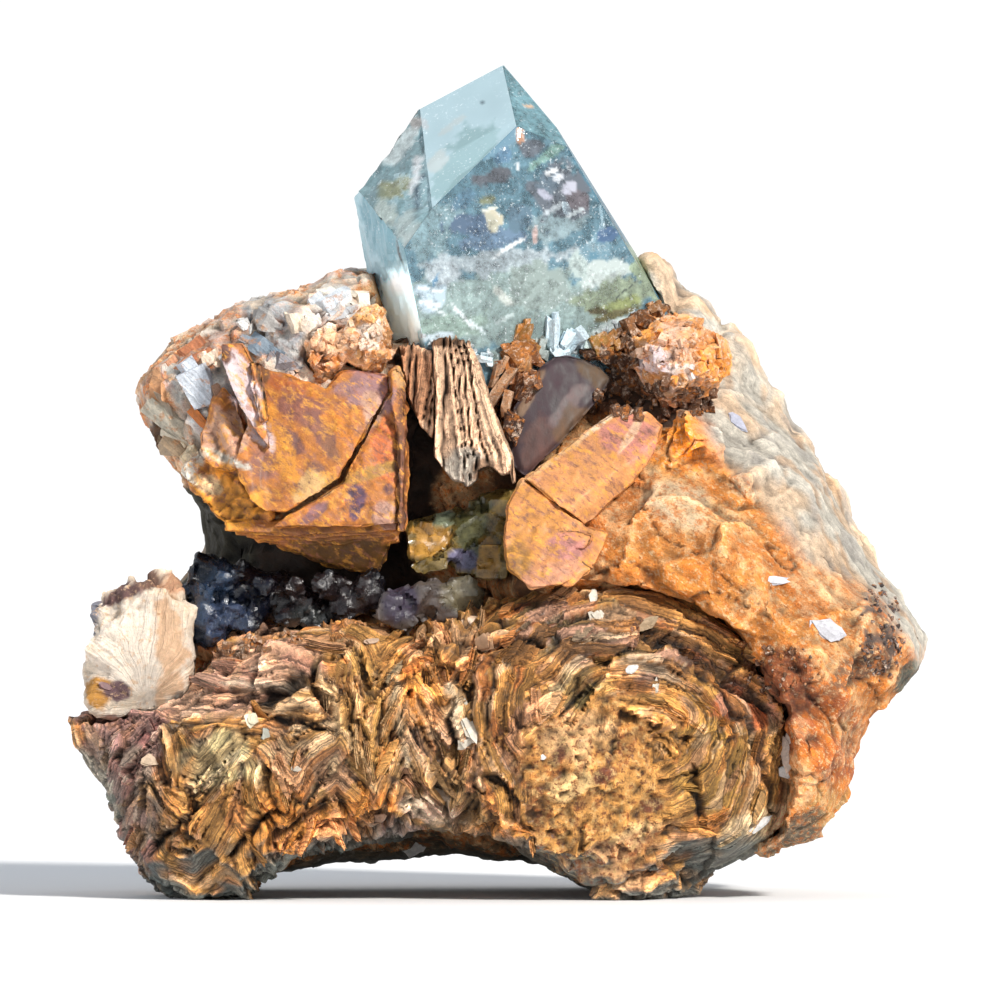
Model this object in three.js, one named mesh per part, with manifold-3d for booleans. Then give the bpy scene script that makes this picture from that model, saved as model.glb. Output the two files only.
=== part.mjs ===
// A blue topaz crystal on its matrix: a hand-sized specimen of feldspar and foliated mica.
//
// Millimetres, +Z up. The broken, most showy side faces -Y, and +X is to its right. The specimen
// stands on two long feet at z = 0, and the origin is under the middle of its bounding box.
//
// Outlines are lists of [x, z] points, as the piece is seen from the front.

import * as THREE from "three";
import { ConvexGeometry } from "three/addons/geometries/ConvexGeometry.js";
import { ImprovedNoise } from "three/addons/math/ImprovedNoise.js";
import { mergeVertices } from "three/addons/utils/BufferGeometryUtils.js";
import Module from "manifold-3d";

const wasm = await Module();
wasm.setup();

// ---------------------------------------------------------------- driving dimensions

const GAP = 0.3; // clearance left between pieces that grew against each other
const SPAN = 200; // longer than the whole specimen, for tools that cut right through it
const TOPAZ_SEAT = 49.5; // height of the buried end of the topaz
const FRONT = -23.5; // the furthest forward that the mica mass swells
const BED_FLOOR = -4; // the depth at which the mica mass lies on the feldspar
const BACK = 24; // the back of the feldspar
const LEAF_STEP = 2.2; // how far the leaf edges of the mica mass stand out of it
const ROSE = [14.6, 14.6]; // the middle of the ringed leaves in the mica mass, x and z
const ROSE_LEFT = 4.6; // the x where the rings end and the herringbones start
const PETAL = 3.7; // distance from one ring of leaves to the next
const PLUME = 8.4; // width of one herringbone of leaves
const BARB = 3.9; // distance from one leaf to the next up a herringbone

// ---------------------------------------------------------------- solids and geometries

/** A closed three.js geometry as a solid that can be joined and cut. */
function solidOf(geometry) {
  const plain = new THREE.BufferGeometry();
  plain.setAttribute("position", geometry.getAttribute("position"));
  plain.setIndex(geometry.index);
  const merged = mergeVertices(plain, 1e-4);
  return new wasm.Manifold(
    new wasm.Mesh({
      numProp: 3,
      vertProperties: new Float32Array(merged.getAttribute("position").array),
      triVerts: new Uint32Array(merged.index.array),
    }),
  );
}

/** The solid as a flat-shaded three.js geometry. */
function geometryOf(solid) {
  const { numProp, vertProperties, triVerts } = solid.getMesh();
  const corners = new Float32Array(triVerts.length * 3);
  triVerts.forEach((vertex, i) => {
    corners.set(vertProperties.subarray(vertex * numProp, vertex * numProp + 3), i * 3);
  });
  const geometry = new THREE.BufferGeometry();
  geometry.setAttribute("position", new THREE.BufferAttribute(corners, 3));
  geometry.computeVertexNormals();
  return geometry;
}

/** The geometry swollen by `by` on every side of its box, to cut the room that a piece sits in. */
function swollen(geometry, by) {
  geometry.computeBoundingBox();
  const middle = geometry.boundingBox.getCenter(new THREE.Vector3());
  const size = geometry.boundingBox.getSize(new THREE.Vector3());
  return geometry
    .clone()
    .translate(-middle.x, -middle.y, -middle.z)
    .scale((size.x + 2 * by) / size.x, (size.y + 2 * by) / size.y, (size.z + 2 * by) / size.z)
    .translate(middle.x, middle.y, middle.z);
}

/** The largest body of a solid: cutting can leave chips behind. */
function largest(solid) {
  return solid.decompose().reduce((best, body) => (body.volume() > best.volume() ? body : best));
}

/** Several shapes grown together: their solid, and the room that the solid needs in its neighbours. */
function grownTogether(shapes) {
  return {
    solid: shapes.map((shape) => shape.solid).reduce((all, one) => all.add(one)),
    room: shapes.map((shape) => shape.room).reduce((all, one) => all.add(one)),
  };
}

/** A shape whose room is the same geometry, a gap larger all round. */
function convexShape(geometry) {
  return { solid: solidOf(geometry), room: solidOf(swollen(geometry, GAP)) };
}

/** The shape with sockets cut in it for the neighbours that it grew around. */
function socketed(shape, neighbours) {
  const cut = (solid) => neighbours.reduce((rest, neighbour) => rest.subtract(neighbour.room), solid);
  return { solid: largest(cut(shape.solid)), room: shape.room };
}

// ---------------------------------------------------------------- ways of making a shape

/** How far the outline lies from the centre in one direction. */
function reachOf(outline, [cx, cz], angle) {
  const dx = Math.cos(angle);
  const dz = Math.sin(angle);
  let reach = 0;
  outline.forEach(([ax, az], i) => {
    const [bx, bz] = outline[(i + 1) % outline.length];
    const ex = bx - ax;
    const ez = bz - az;
    const across = dx * ez - dz * ex;
    if (Math.abs(across) < 1e-9) return;
    const along = ((ax - cx) * ez - (az - cz) * ex) / across;
    const share = ((ax - cx) * dz - (az - cz) * dx) / across;
    if (share >= 0 && share <= 1 && along > reach) reach = along;
  });
  return reach;
}

/**
 * A rounded mass of rock. Seen from the front it fills its outline. In depth it swells from its
 * rim to the front and the back, more like a box as `boxy` grows. `lean` tips its top backwards,
 * and `relief` moves its front face by a depth that depends on x and z.
 */
function lumpGeometry(form, grow) {
  const { outline, centre, rim, front, back } = form;
  const { boxy = 2.6, detail = 8, rough = 0.7, grain = 7, lean = 0, relief } = form;
  const noise = new ImprovedNoise();
  const ball = new THREE.IcosahedronGeometry(1, detail);
  ball.deleteAttribute("normal");
  ball.deleteAttribute("uv");
  const geometry = mergeVertices(ball, 1e-5);
  const position = geometry.getAttribute("position");
  const way = new THREE.Vector3();
  for (let i = 0; i < position.count; i++) {
    way.fromBufferAttribute(position, i);
    const ring = Math.hypot(way.x, way.z);
    const angle = Math.atan2(way.z, way.x);
    const reach = (reachOf(outline, centre, angle) + grow) * ring ** (2 / boxy);
    const depth = Math.abs(way.y) ** (2 / boxy);
    const x = centre[0] + reach * Math.cos(angle);
    const z = centre[1] + reach * Math.sin(angle);
    let y = rim + (way.y < 0 ? front - grow - rim : back + grow - rim) * depth;
    y += lean * (z - centre[1]);
    if (relief && way.y < 0) y += relief(x, z) * depth;
    const bump =
      rough * noise.noise(x / grain, y / grain, z / grain) +
      (rough / 2) * noise.noise((2.3 * x) / grain, (2.3 * y) / grain, (2.3 * z) / grain);
    position.setXYZ(i, x + way.x * bump, y + way.y * bump, z + way.z * bump);
  }
  return geometry;
}

/** The rounded mass as a shape, with its room. */
function lump(form) {
  return { solid: solidOf(lumpGeometry(form, 0)), room: solidOf(lumpGeometry(form, GAP)) };
}

/** A small bluntly faceted grain, given by its centre and half sizes. */
function grain([x, y, z], [rx, ry, rz], detail = 1, turn = 0) {
  const geometry = new THREE.IcosahedronGeometry(1, detail);
  geometry.rotateY(turn).rotateX(turn / 2).scale(rx, ry, rz).translate(x, y, z);
  return convexShape(geometry);
}

/** A squarish cleavage block, given by its centre, its size and three turns. */
function block([x, y, z], [width, depth, height], [turnX, turnY, turnZ]) {
  const geometry = new THREE.BoxGeometry(width, depth, height);
  geometry.rotateX(turnX).rotateY(turnY).rotateZ(turnZ).translate(x, y, z);
  return convexShape(geometry);
}

/** The convex body inside a set of planes, each given by its outward normal and a point on it. */
function planesGeometry(planes) {
  const sides = planes.map(([normal, point]) => {
    return new THREE.Plane().setFromNormalAndCoplanarPoint(
      new THREE.Vector3(...normal).normalize(),
      new THREE.Vector3(...point),
    );
  });
  const corners = [];
  sides.forEach((a, i) => {
    sides.slice(i + 1).forEach((b, j) => {
      sides.slice(i + j + 2).forEach((c) => {
        const corner = meetingPoint(a, b, c);
        if (corner && sides.every((side) => side.distanceToPoint(corner) < 1e-6)) corners.push(corner);
      });
    });
  });
  return new ConvexGeometry(corners);
}

/** The point where three planes meet, or null where two of them are parallel. */
function meetingPoint(a, b, c) {
  const bc = b.normal.clone().cross(c.normal);
  const scale = a.normal.dot(bc);
  if (Math.abs(scale) < 1e-6) return null;
  const ca = c.normal.clone().cross(a.normal);
  const ab = a.normal.clone().cross(b.normal);
  return bc
    .multiplyScalar(-a.constant)
    .addScaledVector(ca, -b.constant)
    .addScaledVector(ab, -c.constant)
    .divideScalar(scale);
}

/** The outline with every corner moved outwards, so that its sides lie `by` further out. */
function grownOutline(outline, by) {
  const corners = outline.map(([x, z]) => new THREE.Vector2(x, z));
  const outwards = THREE.ShapeUtils.area(corners) > 0 ? 1 : -1;
  return corners.map((corner, i) => {
    const before = corners.at(i - 1);
    const after = corners[(i + 1) % corners.length];
    const sideIn = corner.clone().sub(before).normalize();
    const sideOut = after.clone().sub(corner).normalize();
    const mitre = new THREE.Vector2(sideIn.y + sideOut.y, -sideIn.x - sideOut.x);
    const reach = Math.min(2 / mitre.length(), 1.8);
    mitre.setLength(outwards * by * reach);
    return [corner.x + mitre.x, corner.y + mitre.y];
  });
}

/** A prism of the outline, from front to back. Its front face may slope in x and in z. */
function slabGeometry({ outline, y, slopeX = 0, slopeZ = 0, thick }, grow = 0) {
  const [originX, originZ] = outline[0];
  const corners = grownOutline(outline, grow).map(([x, z]) => new THREE.Vector2(x, z));
  const depth = thick + 2 * grow;
  const geometry = new THREE.ExtrudeGeometry(new THREE.Shape(corners), { depth, bevelEnabled: false });
  const position = geometry.getAttribute("position");
  for (let i = 0; i < position.count; i++) {
    const x = position.getX(i);
    const z = position.getY(i);
    const face = y - grow + slopeX * (x - originX) + slopeZ * (z - originZ);
    position.setXYZ(i, x, face + depth - position.getZ(i), z);
  }
  return geometry;
}

/** The prism as a shape, with its room. */
function slab(form) {
  return { solid: solidOf(slabGeometry(form)), room: solidOf(slabGeometry(form, GAP)) };
}

/** Everything on the far side of a plane, as a block to cut away. */
function beyond(normal, point) {
  const block = new THREE.BoxGeometry(SPAN, SPAN, SPAN);
  block.translate(0, 0, SPAN / 2);
  const turn = new THREE.Quaternion().setFromUnitVectors(
    new THREE.Vector3(0, 0, 1),
    new THREE.Vector3(...normal).normalize(),
  );
  block.applyQuaternion(turn).translate(...point);
  return solidOf(block);
}

// ---------------------------------------------------------------- the topaz crystal

/**
 * One stout prism, tilted to the upper left: a broad front face, a bright dome face above it, two
 * rough faces on the left, a narrow prism face down the right edge, and plain faces behind.
 */
function topazCrystal() {
  const tip = [0.5, 2, 82.9];
  const frontCorner = [-6.5, -9, 68.2];
  const faces = [
    [[-48.4, -92.7, 92.4], frontCorner], // bright dome
    [[39.8, -105.9, 9.5], frontCorner], // broad front
    [[-29.6, -34.4, 32.8], frontCorner], // upper left
    [[-81.2, -28.9, -17], [-9.3, -10.4, 64.2]], // lower left
    [[29.8, -34.4, 44.7], tip], // top right
    [[0.8, 0.12, 0.595], tip], // right shoulder
    [[0.83, -0.07, 0.49], [7, -3.4, 74.3]], // right edge
    [[-0.81, 0.1, 0.58], [-13.4, 1, 71]], // left shoulder
    [[-0.31, 0.76, 0.58], tip], // back dome
    [[0.62, 0.76, 0.15], [13.5, 7.5, 60]], // back right
    [[0.05, 0.99, -0.05], [0, 11.5, 62]], // back
    [[-0.78, 0.62, 0], [-12.4, 3.5, 63]], // back left
    [[0.2, 0, -0.98], [0, 0, TOPAZ_SEAT]], // buried end
  ];
  return convexShape(planesGeometry(faces));
}

// ---------------------------------------------------------------- the mica

/** The large rusty book on the left: stacked leaves with broken edges, and a wedge under them. */
function largeBook() {
  const topLeaf = [
    [-23.9, 52.8], [-26.4, 42.4], [-25.6, 39.2], [-22.4, 38.1], [-19.6, 39.2], [-15.6, 43],
    [-13.1, 46.2], [-10.9, 49.8], [-10.9, 51.4], [-13.4, 52.4], [-15.5, 52.2], [-17, 50.4],
    [-20, 51.4], [-22.4, 52.4],
  ];
  const faceLeaf = [
    [-26.6, 47], [-26, 40], [-24.6, 36.6], [-17.8, 36.5], [-9.6, 36.8], [-9.4, 44], [-9.8, 51.8],
    [-12, 50.8],
  ];
  const lowerLeaf = [[-27, 46], [-26.4, 36.2], [-18, 35.7], [-9.8, 36.2], [-9.5, 50]];
  const darkLeaf = [[-26, 46], [-25.6, 35.3], [-16, 34.8], [-10.2, 35.6], [-10, 49]];
  const wedge = [[-21.9, 40], [-21.9, 34.8], [-17.4, 32.9], [-11.9, 31.9], [-10.6, 35.6], [-10.6, 42]];
  const crumbs = [
    [-31, 43], [-31.2, 41.9], [-29.5, 39.6], [-26.4, 36.8], [-23, 36.9], [-23.4, 42], [-27, 45],
  ];
  const sliver = [
    [-27.2, 54.6], [-27, 52.4], [-25.6, 48.6], [-22.1, 44], [-23.2, 49], [-24.1, 52.7], [-25.9, 54.7],
  ];
  const fold = [
    [-29.4, 45.8], [-29.4, 43.8], [-27.2, 42.2], [-24.2, 43.4], [-25.4, 45.6], [-26, 49],
    [-27.6, 49.8], [-28.8, 47.6],
  ];
  return grownTogether([
    slab({ outline: topLeaf, y: -14.6, thick: 1.8, slopeX: -0.04, slopeZ: 0.38 }),
    slab({ outline: faceLeaf, y: -14.8, thick: 2.4, slopeX: 0.22, slopeZ: 0.14 }),
    slab({ outline: lowerLeaf, y: -12.9, thick: 2.4, slopeX: 0.06, slopeZ: 0.16 }),
    slab({ outline: darkLeaf, y: -11.4, thick: 3.4, slopeX: 0.04, slopeZ: 0.16 }),
    slab({ outline: wedge, y: -13.6, thick: 4.6, slopeX: 0.1, slopeZ: -0.35 }),
    slab({ outline: crumbs, y: -12.6, thick: 5, slopeX: -0.25, slopeZ: 0.3 }),
    slab({ outline: sliver, y: -14.6, thick: 2.6, slopeX: 0.62, slopeZ: 0.36 }),
    slab({ outline: fold, y: -14.2, thick: 3, slopeX: -0.25, slopeZ: 0.2 }),
  ]);
}

/** The ridged book under the topaz, seen on edge: a fan of leaves that end at uneven heights. */
function ridgedBook() {
  // Each leaf: left and right at the top, left and right at the foot, top height, foot height, front.
  const leaves = [
    [-9.9, -8.5, -8.6, -7.5, 54.5, 48.6, -11.2],
    [-8.8, -7.6, -7.8, -6.6, 54.9, 46.6, -12.6],
    [-7.9, -6.4, -7, -5.9, 54.1, 45.4, -11.6],
    [-6.7, -5.5, -6.4, -4.9, 55, 42.3, -14.2],
    [-5.8, -4.7, -5.3, -3.6, 55.3, 39.9, -13],
    [-5, -3.9, -4, -2.1, 55.2, 39.6, -14.8],
    [-4.2, -3.1, -2.4, -0.7, 55.1, 40.9, -13.2],
    [-3.4, -2.3, -1, 0.7, 54.6, 41.6, -14.2],
    [-2.8, -1.6, 0.4, 1.8, 53.6, 40.4, -12.8],
  ];
  return grownTogether(
    leaves.map(([topLeft, topRight, footLeft, footRight, top, foot, y], i) => {
      const outline = [[topLeft, top], [footLeft, foot], [footRight, foot + 0.8], [topRight, top - 0.4]];
      return slab({ outline, y, slopeX: i % 2 ? 0.5 : -0.4, slopeZ: 0.3, thick: 7 });
    }),
  );
}

/** The dark round leaf that stands between the ridged book and the tan one. */
function purpleDisc() {
  const outline = [
    [1.3, 44.1], [1.1, 46.6], [1.6, 48.5], [2.5, 49.9], [3.4, 51.8], [4.5, 53], [6.6, 53.6],
    [8.6, 53.2], [10.2, 52.5], [11.3, 51.4], [10.4, 49.7], [8.2, 47.3], [6.1, 44.8], [4.2, 43.1],
    [2.7, 41.5], [1.6, 42.3],
  ];
  return slab({ outline, y: -11.6, slopeX: 0.12, slopeZ: 0.3, thick: 1.6 });
}

/** The smooth tan book to the right of the centre: two leaves parted by a thin crack. */
function tanBook() {
  const upperLeaf = [
    [2.4, 41.2], [8.6, 36.7], [10.4, 38.8], [13.4, 41.3], [15.6, 44.3], [16.4, 46.8], [14.4, 48.1],
    [12.2, 48.4], [9.7, 46.8], [6.2, 44.1], [3, 41.7],
  ];
  const lowerLeaf = [
    [1.9, 40.9], [0.4, 37.3], [0.7, 32.3], [3.2, 30.4], [6.2, 30.8], [9.2, 33.3], [10.2, 38.4],
    [8.3, 36.6],
  ];
  return grownTogether([
    slab({ outline: upperLeaf, y: -17.6, slopeX: 0.1, slopeZ: 0.55, thick: 2.6 }),
    slab({ outline: lowerLeaf, y: -17.2, slopeX: 0.12, slopeZ: 0.5, thick: 3.2 }),
  ]);
}

/** The glassy olive leaves at the bottom of the hollow in the middle. */
function oliveLeaves() {
  const left = [
    [-9.2, 35.2], [-8.9, 33.8], [-8.3, 32.7], [-6.8, 33.3], [-4.6, 35.3], [-2.8, 37.8],
    [-3.8, 38.6], [-5.8, 38.1], [-8.9, 37.1],
  ];
  const right = [
    [-5.3, 33.8], [-3.8, 31.8], [-0.8, 32.1], [-0.3, 34.3], [-0.4, 37.3], [0.4, 39.6], [-0.8, 39.8],
    [-3, 38.5], [-4.6, 36.3],
  ];
  return grownTogether([
    slab({ outline: left, y: -11.2, slopeX: 0.15, slopeZ: 0.5, thick: 3.4 }),
    slab({ outline: right, y: -11.8, slopeX: -0.1, slopeZ: 0.35, thick: 4.4 }),
  ]);
}

/**
 * Depth of the broken leaf edges on the front of the mica mass: rings of leaves about a centre on
 * the right, like the petals of a rose, and upright herringbones of leaves on the left.
 */
function leafEdges(x, z) {
  const drift = 0.45 * new ImprovedNoise().noise(x / 6, 7.7, z / 6);
  const petals = Math.hypot(x - ROSE[0], 1.1 * (z - ROSE[1])) / PETAL;
  const acrossPlume = THREE.MathUtils.euclideanModulo(x - ROSE_LEFT, PLUME);
  const herringbone = (z + 0.9 * Math.abs(acrossPlume - PLUME / 2)) / BARB;
  const layer = (x > ROSE_LEFT ? petals : herringbone) + drift;
  return -LEAF_STEP * (layer - Math.floor(layer));
}

/** The lower front of the specimen: a mass of foliated mica on two feet, with an arch between. */
const massForm = {
  outline: [
    [-42.2, 18.6], [-41.5, 15.9], [-40.6, 13.4], [-39, 11.1], [-37.6, 8.3], [-36.8, 5],
    [-35.8, 2.9], [-34.2, 1.2], [-31.6, -0.3], [-28.4, -1.4], [-25.4, -0.5], [-23.2, 2.4], [-20.5, 4.4],
    [-16.8, 5], [-11.8, 5.8], [-5.8, 6.8], [0.2, 6.3], [5.2, 3.6], [9.4, 0.6], [12, -1.2],
    [16.4, -1], [20, 1.8], [24, 3.8], [27.6, 6.6], [29.6, 12], [28.6, 18], [25, 25], [20.4, 29.4],
    [13.6, 30.8], [6, 30.2], [-2, 28.4], [-9, 26.6], [-14, 27.2], [-20, 27], [-26.4, 25.4],
    [-30.4, 21], [-34, 18.6], [-39, 19],
  ],
  centre: [-7, 15.5],
  rim: -9,
  front: FRONT,
  back: 4,
  boxy: 2.7,
  detail: 11,
  rough: 1.1,
  grain: 5,
  relief: leafEdges,
};

// ---------------------------------------------------------------- the feldspar and the quartz

/** How the stained slope is pitted and stepped. */
function weathered(x, z) {
  const noise = new ImprovedNoise();
  return 3 * noise.noise(x / 4.3, 0.5, z / 4.3) + 1.2 * noise.noise(x / 1.9, 4.5, z / 1.9);
}

/** The body of the specimen: a pale back, a stained slope on the right, and two shoulders. */
function feldsparMatrix() {
  const back = lump({
    outline: [
      [-12.5, 61], [-24, 57], [-33.4, 50], [-31, 41], [-28.6, 35], [-34, 29], [-37, 20], [-35, 9],
      [-33, -3], [-24.4, -3], [-22, 2.6], [-12, 3.2], [0, 3], [7.4, 2.6], [9.6, -3], [16.4, -3],
      [19.6, 2], [30, 7.4], [33, 18], [39, 27], [33, 40], [27, 50], [18, 59], [12, 62.5], [0, 61],
    ],
    centre: [0, 30], rim: 8, front: -6, back: BACK, boxy: 2.8, detail: 5, rough: 1.8, grain: 11,
  });
  const leftShoulder = lump({
    outline: [
      [-31.2, 41], [-33.8, 45.4], [-35.7, 47.6], [-35.8, 50.4], [-34.4, 52.7], [-31, 55.2], [-28, 57.4],
      [-24.4, 59], [-18.3, 60.4], [-12.4, 62.8], [-7, 60], [-6, 48], [-9, 40], [-18, 37.4], [-28.6, 37.6],
    ],
    centre: [-20, 49], rim: 3, front: -10.5, back: 19, boxy: 3, detail: 5, rough: 0.9, grain: 5,
  });
  const rightSlope = lump({
    outline: [
      [1, 44], [7, 51.5], [13, 55.6], [20, 56], [26, 50], [32, 42.6], [36.3, 34], [39.2, 30.5],
      [41.4, 28], [42.6, 25.6], [42.4, 23.8], [40.6, 21.2], [37.4, 18.5], [35, 16], [34.1, 11.6],
      [34.1, 9.4], [32.2, 7.6], [31.6, 6], [27.8, 5.5], [24, 3.4], [14, 6], [2, 18], [-2, 34],
    ],
    centre: [20, 30], rim: 0, front: -19.5, back: 16, boxy: 2.5, detail: 8, rough: 1, grain: 5,
    lean: 0.42, relief: weathered,
  });
  // The pale ridge down the right side weathers into upright ribs.
  const ribs = [
    grain([15.4, 8, 59], [3, 8, 5.6], 1, 0.2),
    grain([19.2, 7.6, 54.6], [3, 8, 6], 1, 1.1),
    grain([23.2, 7, 50.2], [3, 8, 6.4], 1, 0.6),
    grain([26.8, 6.6, 45], [3, 8, 6], 1, 1.8),
    grain([29.8, 6.2, 40.6], [3, 8, 6.2], 1, 0.1),
    grain([32.6, 6, 36], [3, 8, 6.4], 1, 1.5),
    grain([35, 5.6, 31.4], [3.2, 8, 5.6], 1, 0.9),
  ];
  const blocks = [
    block([-31.6, -5, 47], [3.4, 4, 6], [0.1, 0.2, 0.5]),
    block([-31, -7.2, 51.4], [4.4, 3.4, 4], [0.3, -0.2, 0.7]),
    block([-20.6, -8.4, 57], [6, 3, 3.4], [0.4, 0.2, -0.3]),
    block([19.6, -12, 44.6], [5, 4, 4.4], [0.5, 0.3, 0.4]),
    block([24.6, -11.6, 41], [5.6, 4, 4], [0.2, -0.4, 0.9]),
    block([30.6, -10.4, 31.4], [6, 4.6, 4.6], [0.5, 0.4, 0.2]),
    block([21.6, -15.6, 34.6], [5.4, 4, 4.6], [0.3, 0.2, 1.1]),
    block([36.6, -4.6, 25.6], [5, 6, 6], [0.2, 0.6, 0.4]),
    block([32.4, -9, 14.6], [5, 5, 6], [0.3, 0.1, 0.2]),
    block([38.6, -3.6, 27.4], [3.6, 5, 4.6], [0.7, 0.1, 0.3]),
  ];
  return grownTogether([back, leftShoulder, rightSlope, ...ribs, ...blocks]);
}

/** The creamy fan of feldspar blades at the left end: they spread from a root low on the right. */
function feldsparFan() {
  const root = new THREE.Vector2(-32, 19.6);
  const tips = [
    [-41.2, 19.8], [-41.2, 23.2], [-40.7, 26.8], [-39.4, 29.4], [-37, 31.2], [-34.4, 32],
    [-31.4, 30.8],
  ];
  return grownTogether(
    tips.map((point, i) => {
      const tip = new THREE.Vector2(...point);
      const along = tip.clone().sub(root);
      const across = new THREE.Vector2(-along.y, along.x).setLength(2.1);
      const shoulder = root.clone().addScaledVector(along, 0.86);
      const outline = [
        root.clone().addScaledVector(across, -0.7),
        shoulder.clone().sub(across),
        tip,
        shoulder.clone().add(across),
        root.clone().addScaledVector(across, 0.7),
      ].map((corner) => [corner.x, corner.y]);
      const lift = 0.9 * (i % 2) + 0.13 * i;
      return slab({ outline, y: -13.2 - lift, slopeX: i % 2 ? -0.12 : 0.2, slopeZ: 0.2, thick: 9 });
    }),
  );
}

/** Rusty knobs of feldspar beside the foot of the topaz. */
function leftKnobs() {
  return grownTogether([
    lump({
      outline: [
        [-19.2, 53.4], [-18, 56], [-16.3, 56.8], [-15, 55.8], [-14.8, 53], [-16, 51], [-18.2, 51],
      ],
      centre: [-17, 53.8], rim: -8, front: -13, back: -4, detail: 2, rough: 0.5, grain: 2.5,
    }),
    lump({
      outline: [
        [-15.2, 55.6], [-14.2, 58.1], [-12.3, 58.6], [-10.9, 56.8], [-10.5, 54.3], [-10.6, 52.2],
        [-12.3, 52], [-14.6, 53],
      ],
      centre: [-12.8, 55.2], rim: -8.4, front: -13.4, back: -4, detail: 2, rough: 0.5, grain: 2.5,
    }),
  ]);
}

/** The larger rusty knob of feldspar at the right of the topaz. */
function rightKnob() {
  return lump({
    outline: [
      [13.4, 54.4], [15.2, 56.5], [17.4, 57.6], [19.9, 56.4], [22.6, 54.1], [22.9, 51.8], [21.4, 50.2],
      [19.2, 49.4], [15.7, 49.5], [14, 51.4],
    ],
    centre: [18, 53.4], rim: -7, front: -13.6, back: -1, detail: 3, rough: 1.1, grain: 2.6,
  });
}

/** Blue-grey to black grains of smoky quartz in the recess under the large book. */
function smokyQuartz() {
  return grownTogether([
    grain([-28.2, -7, 30.4], [3, 2.8, 3.2], 1, 0.3),
    grain([-28.6, -9, 27.4], [2.6, 2.8, 2.9], 0, 1.2),
    grain([-24.6, -8, 30.2], [2.8, 3, 2.6], 1, 2.1),
    grain([-21.3, -7, 29.4], [2.3, 2.8, 2.3], 0, 0.7),
    grain([-18.6, -8.6, 29], [2.5, 2.8, 2.6], 0, 1.7),
    grain([-15.4, -9, 29.6], [2.2, 2.8, 2.8], 0, 2.6),
    grain([-12.8, -9, 29.8], [1.7, 2.6, 2.6], 0, 0.9),
  ]);
}

/** Grey quartz knobs on the lip of the mica mass, at the middle of the front. */
function greyQuartz() {
  return grownTogether([
    grain([-9.2, -14.6, 28.6], [2.4, 2.8, 2.7], 1, 0.5),
    grain([-6, -14.2, 29.4], [2.3, 2.8, 2.4], 1, 1.4),
    grain([-3.4, -13.8, 29.8], [2.1, 2.8, 2.2], 1, 2.3),
  ]);
}

// ---------------------------------------------------------------- putting the specimen together

/** The ledge in front of the topaz: the rock there is broken off level with the crystal's foot. */
const ledge = solidOf(
  planesGeometry([
    [[0, 1, 0.28], [0, -2.5, 55]],
    [[-0.28, 0, -1], [-7.3, 0, 54.6]],
    [[0.33, 0, -1], [4, 0, 53.2]],
    [[-1, 0, 0.2], [-13, 0, 60]],
    [[1, 0, 0.3], [17.6, 0, 60]],
    [[0, -1, 0], [0, -30, 0]],
    [[0, 0, 1], [0, 0, 90]],
  ]),
);

/** The hollow under the middle of the specimen, right through from front to back. */
const arch = solidOf(
  slabGeometry({
    outline: [
      [-26.6, -5], [-24.8, 0.8], [-22.4, 2.2], [-17, 2.6], [-11, 3.3], [-4, 2.7], [2, 3.4],
      [6.6, 2.4], [9, 1], [11.4, -5],
    ],
    y: -SPAN / 4,
    thick: SPAN / 2,
  }),
);

/** The recess under the large book, and the slot between the two books. */
const recess = solidOf(
  slabGeometry({
    outline: [
      [-31, 31.6], [-30.4, 25.6], [-20, 25.8], [-9, 25.6], [-3, 29], [-4.6, 36], [-6.4, 47.6],
      [-8.6, 48], [-9.6, 35.6], [-24, 34.6], [-29, 35.4],
    ],
    y: BED_FLOOR - SPAN / 4,
    thick: SPAN / 4,
  }),
);

/** The bed that the mica mass fills: the feldspar stops there, and the mass stays inside it. */
const bed = slab({ outline: massForm.outline, y: BED_FLOOR - SPAN / 4, thick: SPAN / 4 });

const ground = beyond([0, 0, -1], [0, 0, 0]);

/** Old breaks across the back of the feldspar, and cleavage steps a millimetre or two deep. */
const breaks = [
  beyond([0.2, 0.96, 0.1], [6, 20.5, 30]),
  beyond([-0.55, 0.8, 0.15], [-24, 15, 34]),
  beyond([0.6, 0.76, 0.2], [26, 15, 34]),
  beyond([-0.1, 0.8, -0.58], [-6, 20, 12]),
  block([2, 24, 50], [30, 9, 20], [0.12, 0.2, -0.2]).solid,
  block([16, 23, 22], [24, 9, 18], [-0.1, -0.35, -0.3]).solid,
  block([-24, 19, 30], [18, 9, 26], [0.1, 0.1, 0.55]).solid,
];

const topaz = topazCrystal();
const bookLarge = largeBook();
const bookRidged = socketed(ridgedBook(), [topaz, bookLarge]);
const disc = socketed(purpleDisc(), [topaz, bookRidged]);
const bookTan = socketed(tanBook(), [disc, bookRidged]);
const leavesOlive = socketed(oliveLeaves(), [bookLarge, bookRidged, bookTan]);
const knobsLeft = socketed(leftKnobs(), [topaz, bookLarge, bookRidged]);
const knobRight = socketed(rightKnob(), [topaz, disc, bookTan]);
const quartzSmoky = socketed(smokyQuartz(), [bookLarge]);
const quartzGrey = socketed(greyQuartz(), [bookLarge, leavesOlive, bookTan]);
const fan = socketed(feldsparFan(), [quartzSmoky]);

const small = [
  topaz, bookLarge, bookRidged, disc, bookTan, leavesOlive, knobsLeft, knobRight, quartzSmoky,
  quartzGrey, fan,
];

const massInBed = lump(massForm).solid.intersect(bed.solid).subtract(ground);
const mass = socketed({ solid: massInBed, room: bed.room }, small);

const matrixForm = feldsparMatrix();
const cuts = [ledge, arch, recess, bed.room, ground, ...breaks];
const matrixSolid = cuts.reduce((rest, cut) => rest.subtract(cut), matrixForm.solid);
const matrix = socketed({ solid: matrixSolid, room: matrixForm.room }, small);

// ---------------------------------------------------------------- materials and the scene

const surface = (color, roughness, metalness = 0) =>
  new THREE.MeshStandardMaterial({ color, roughness, metalness });

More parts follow.
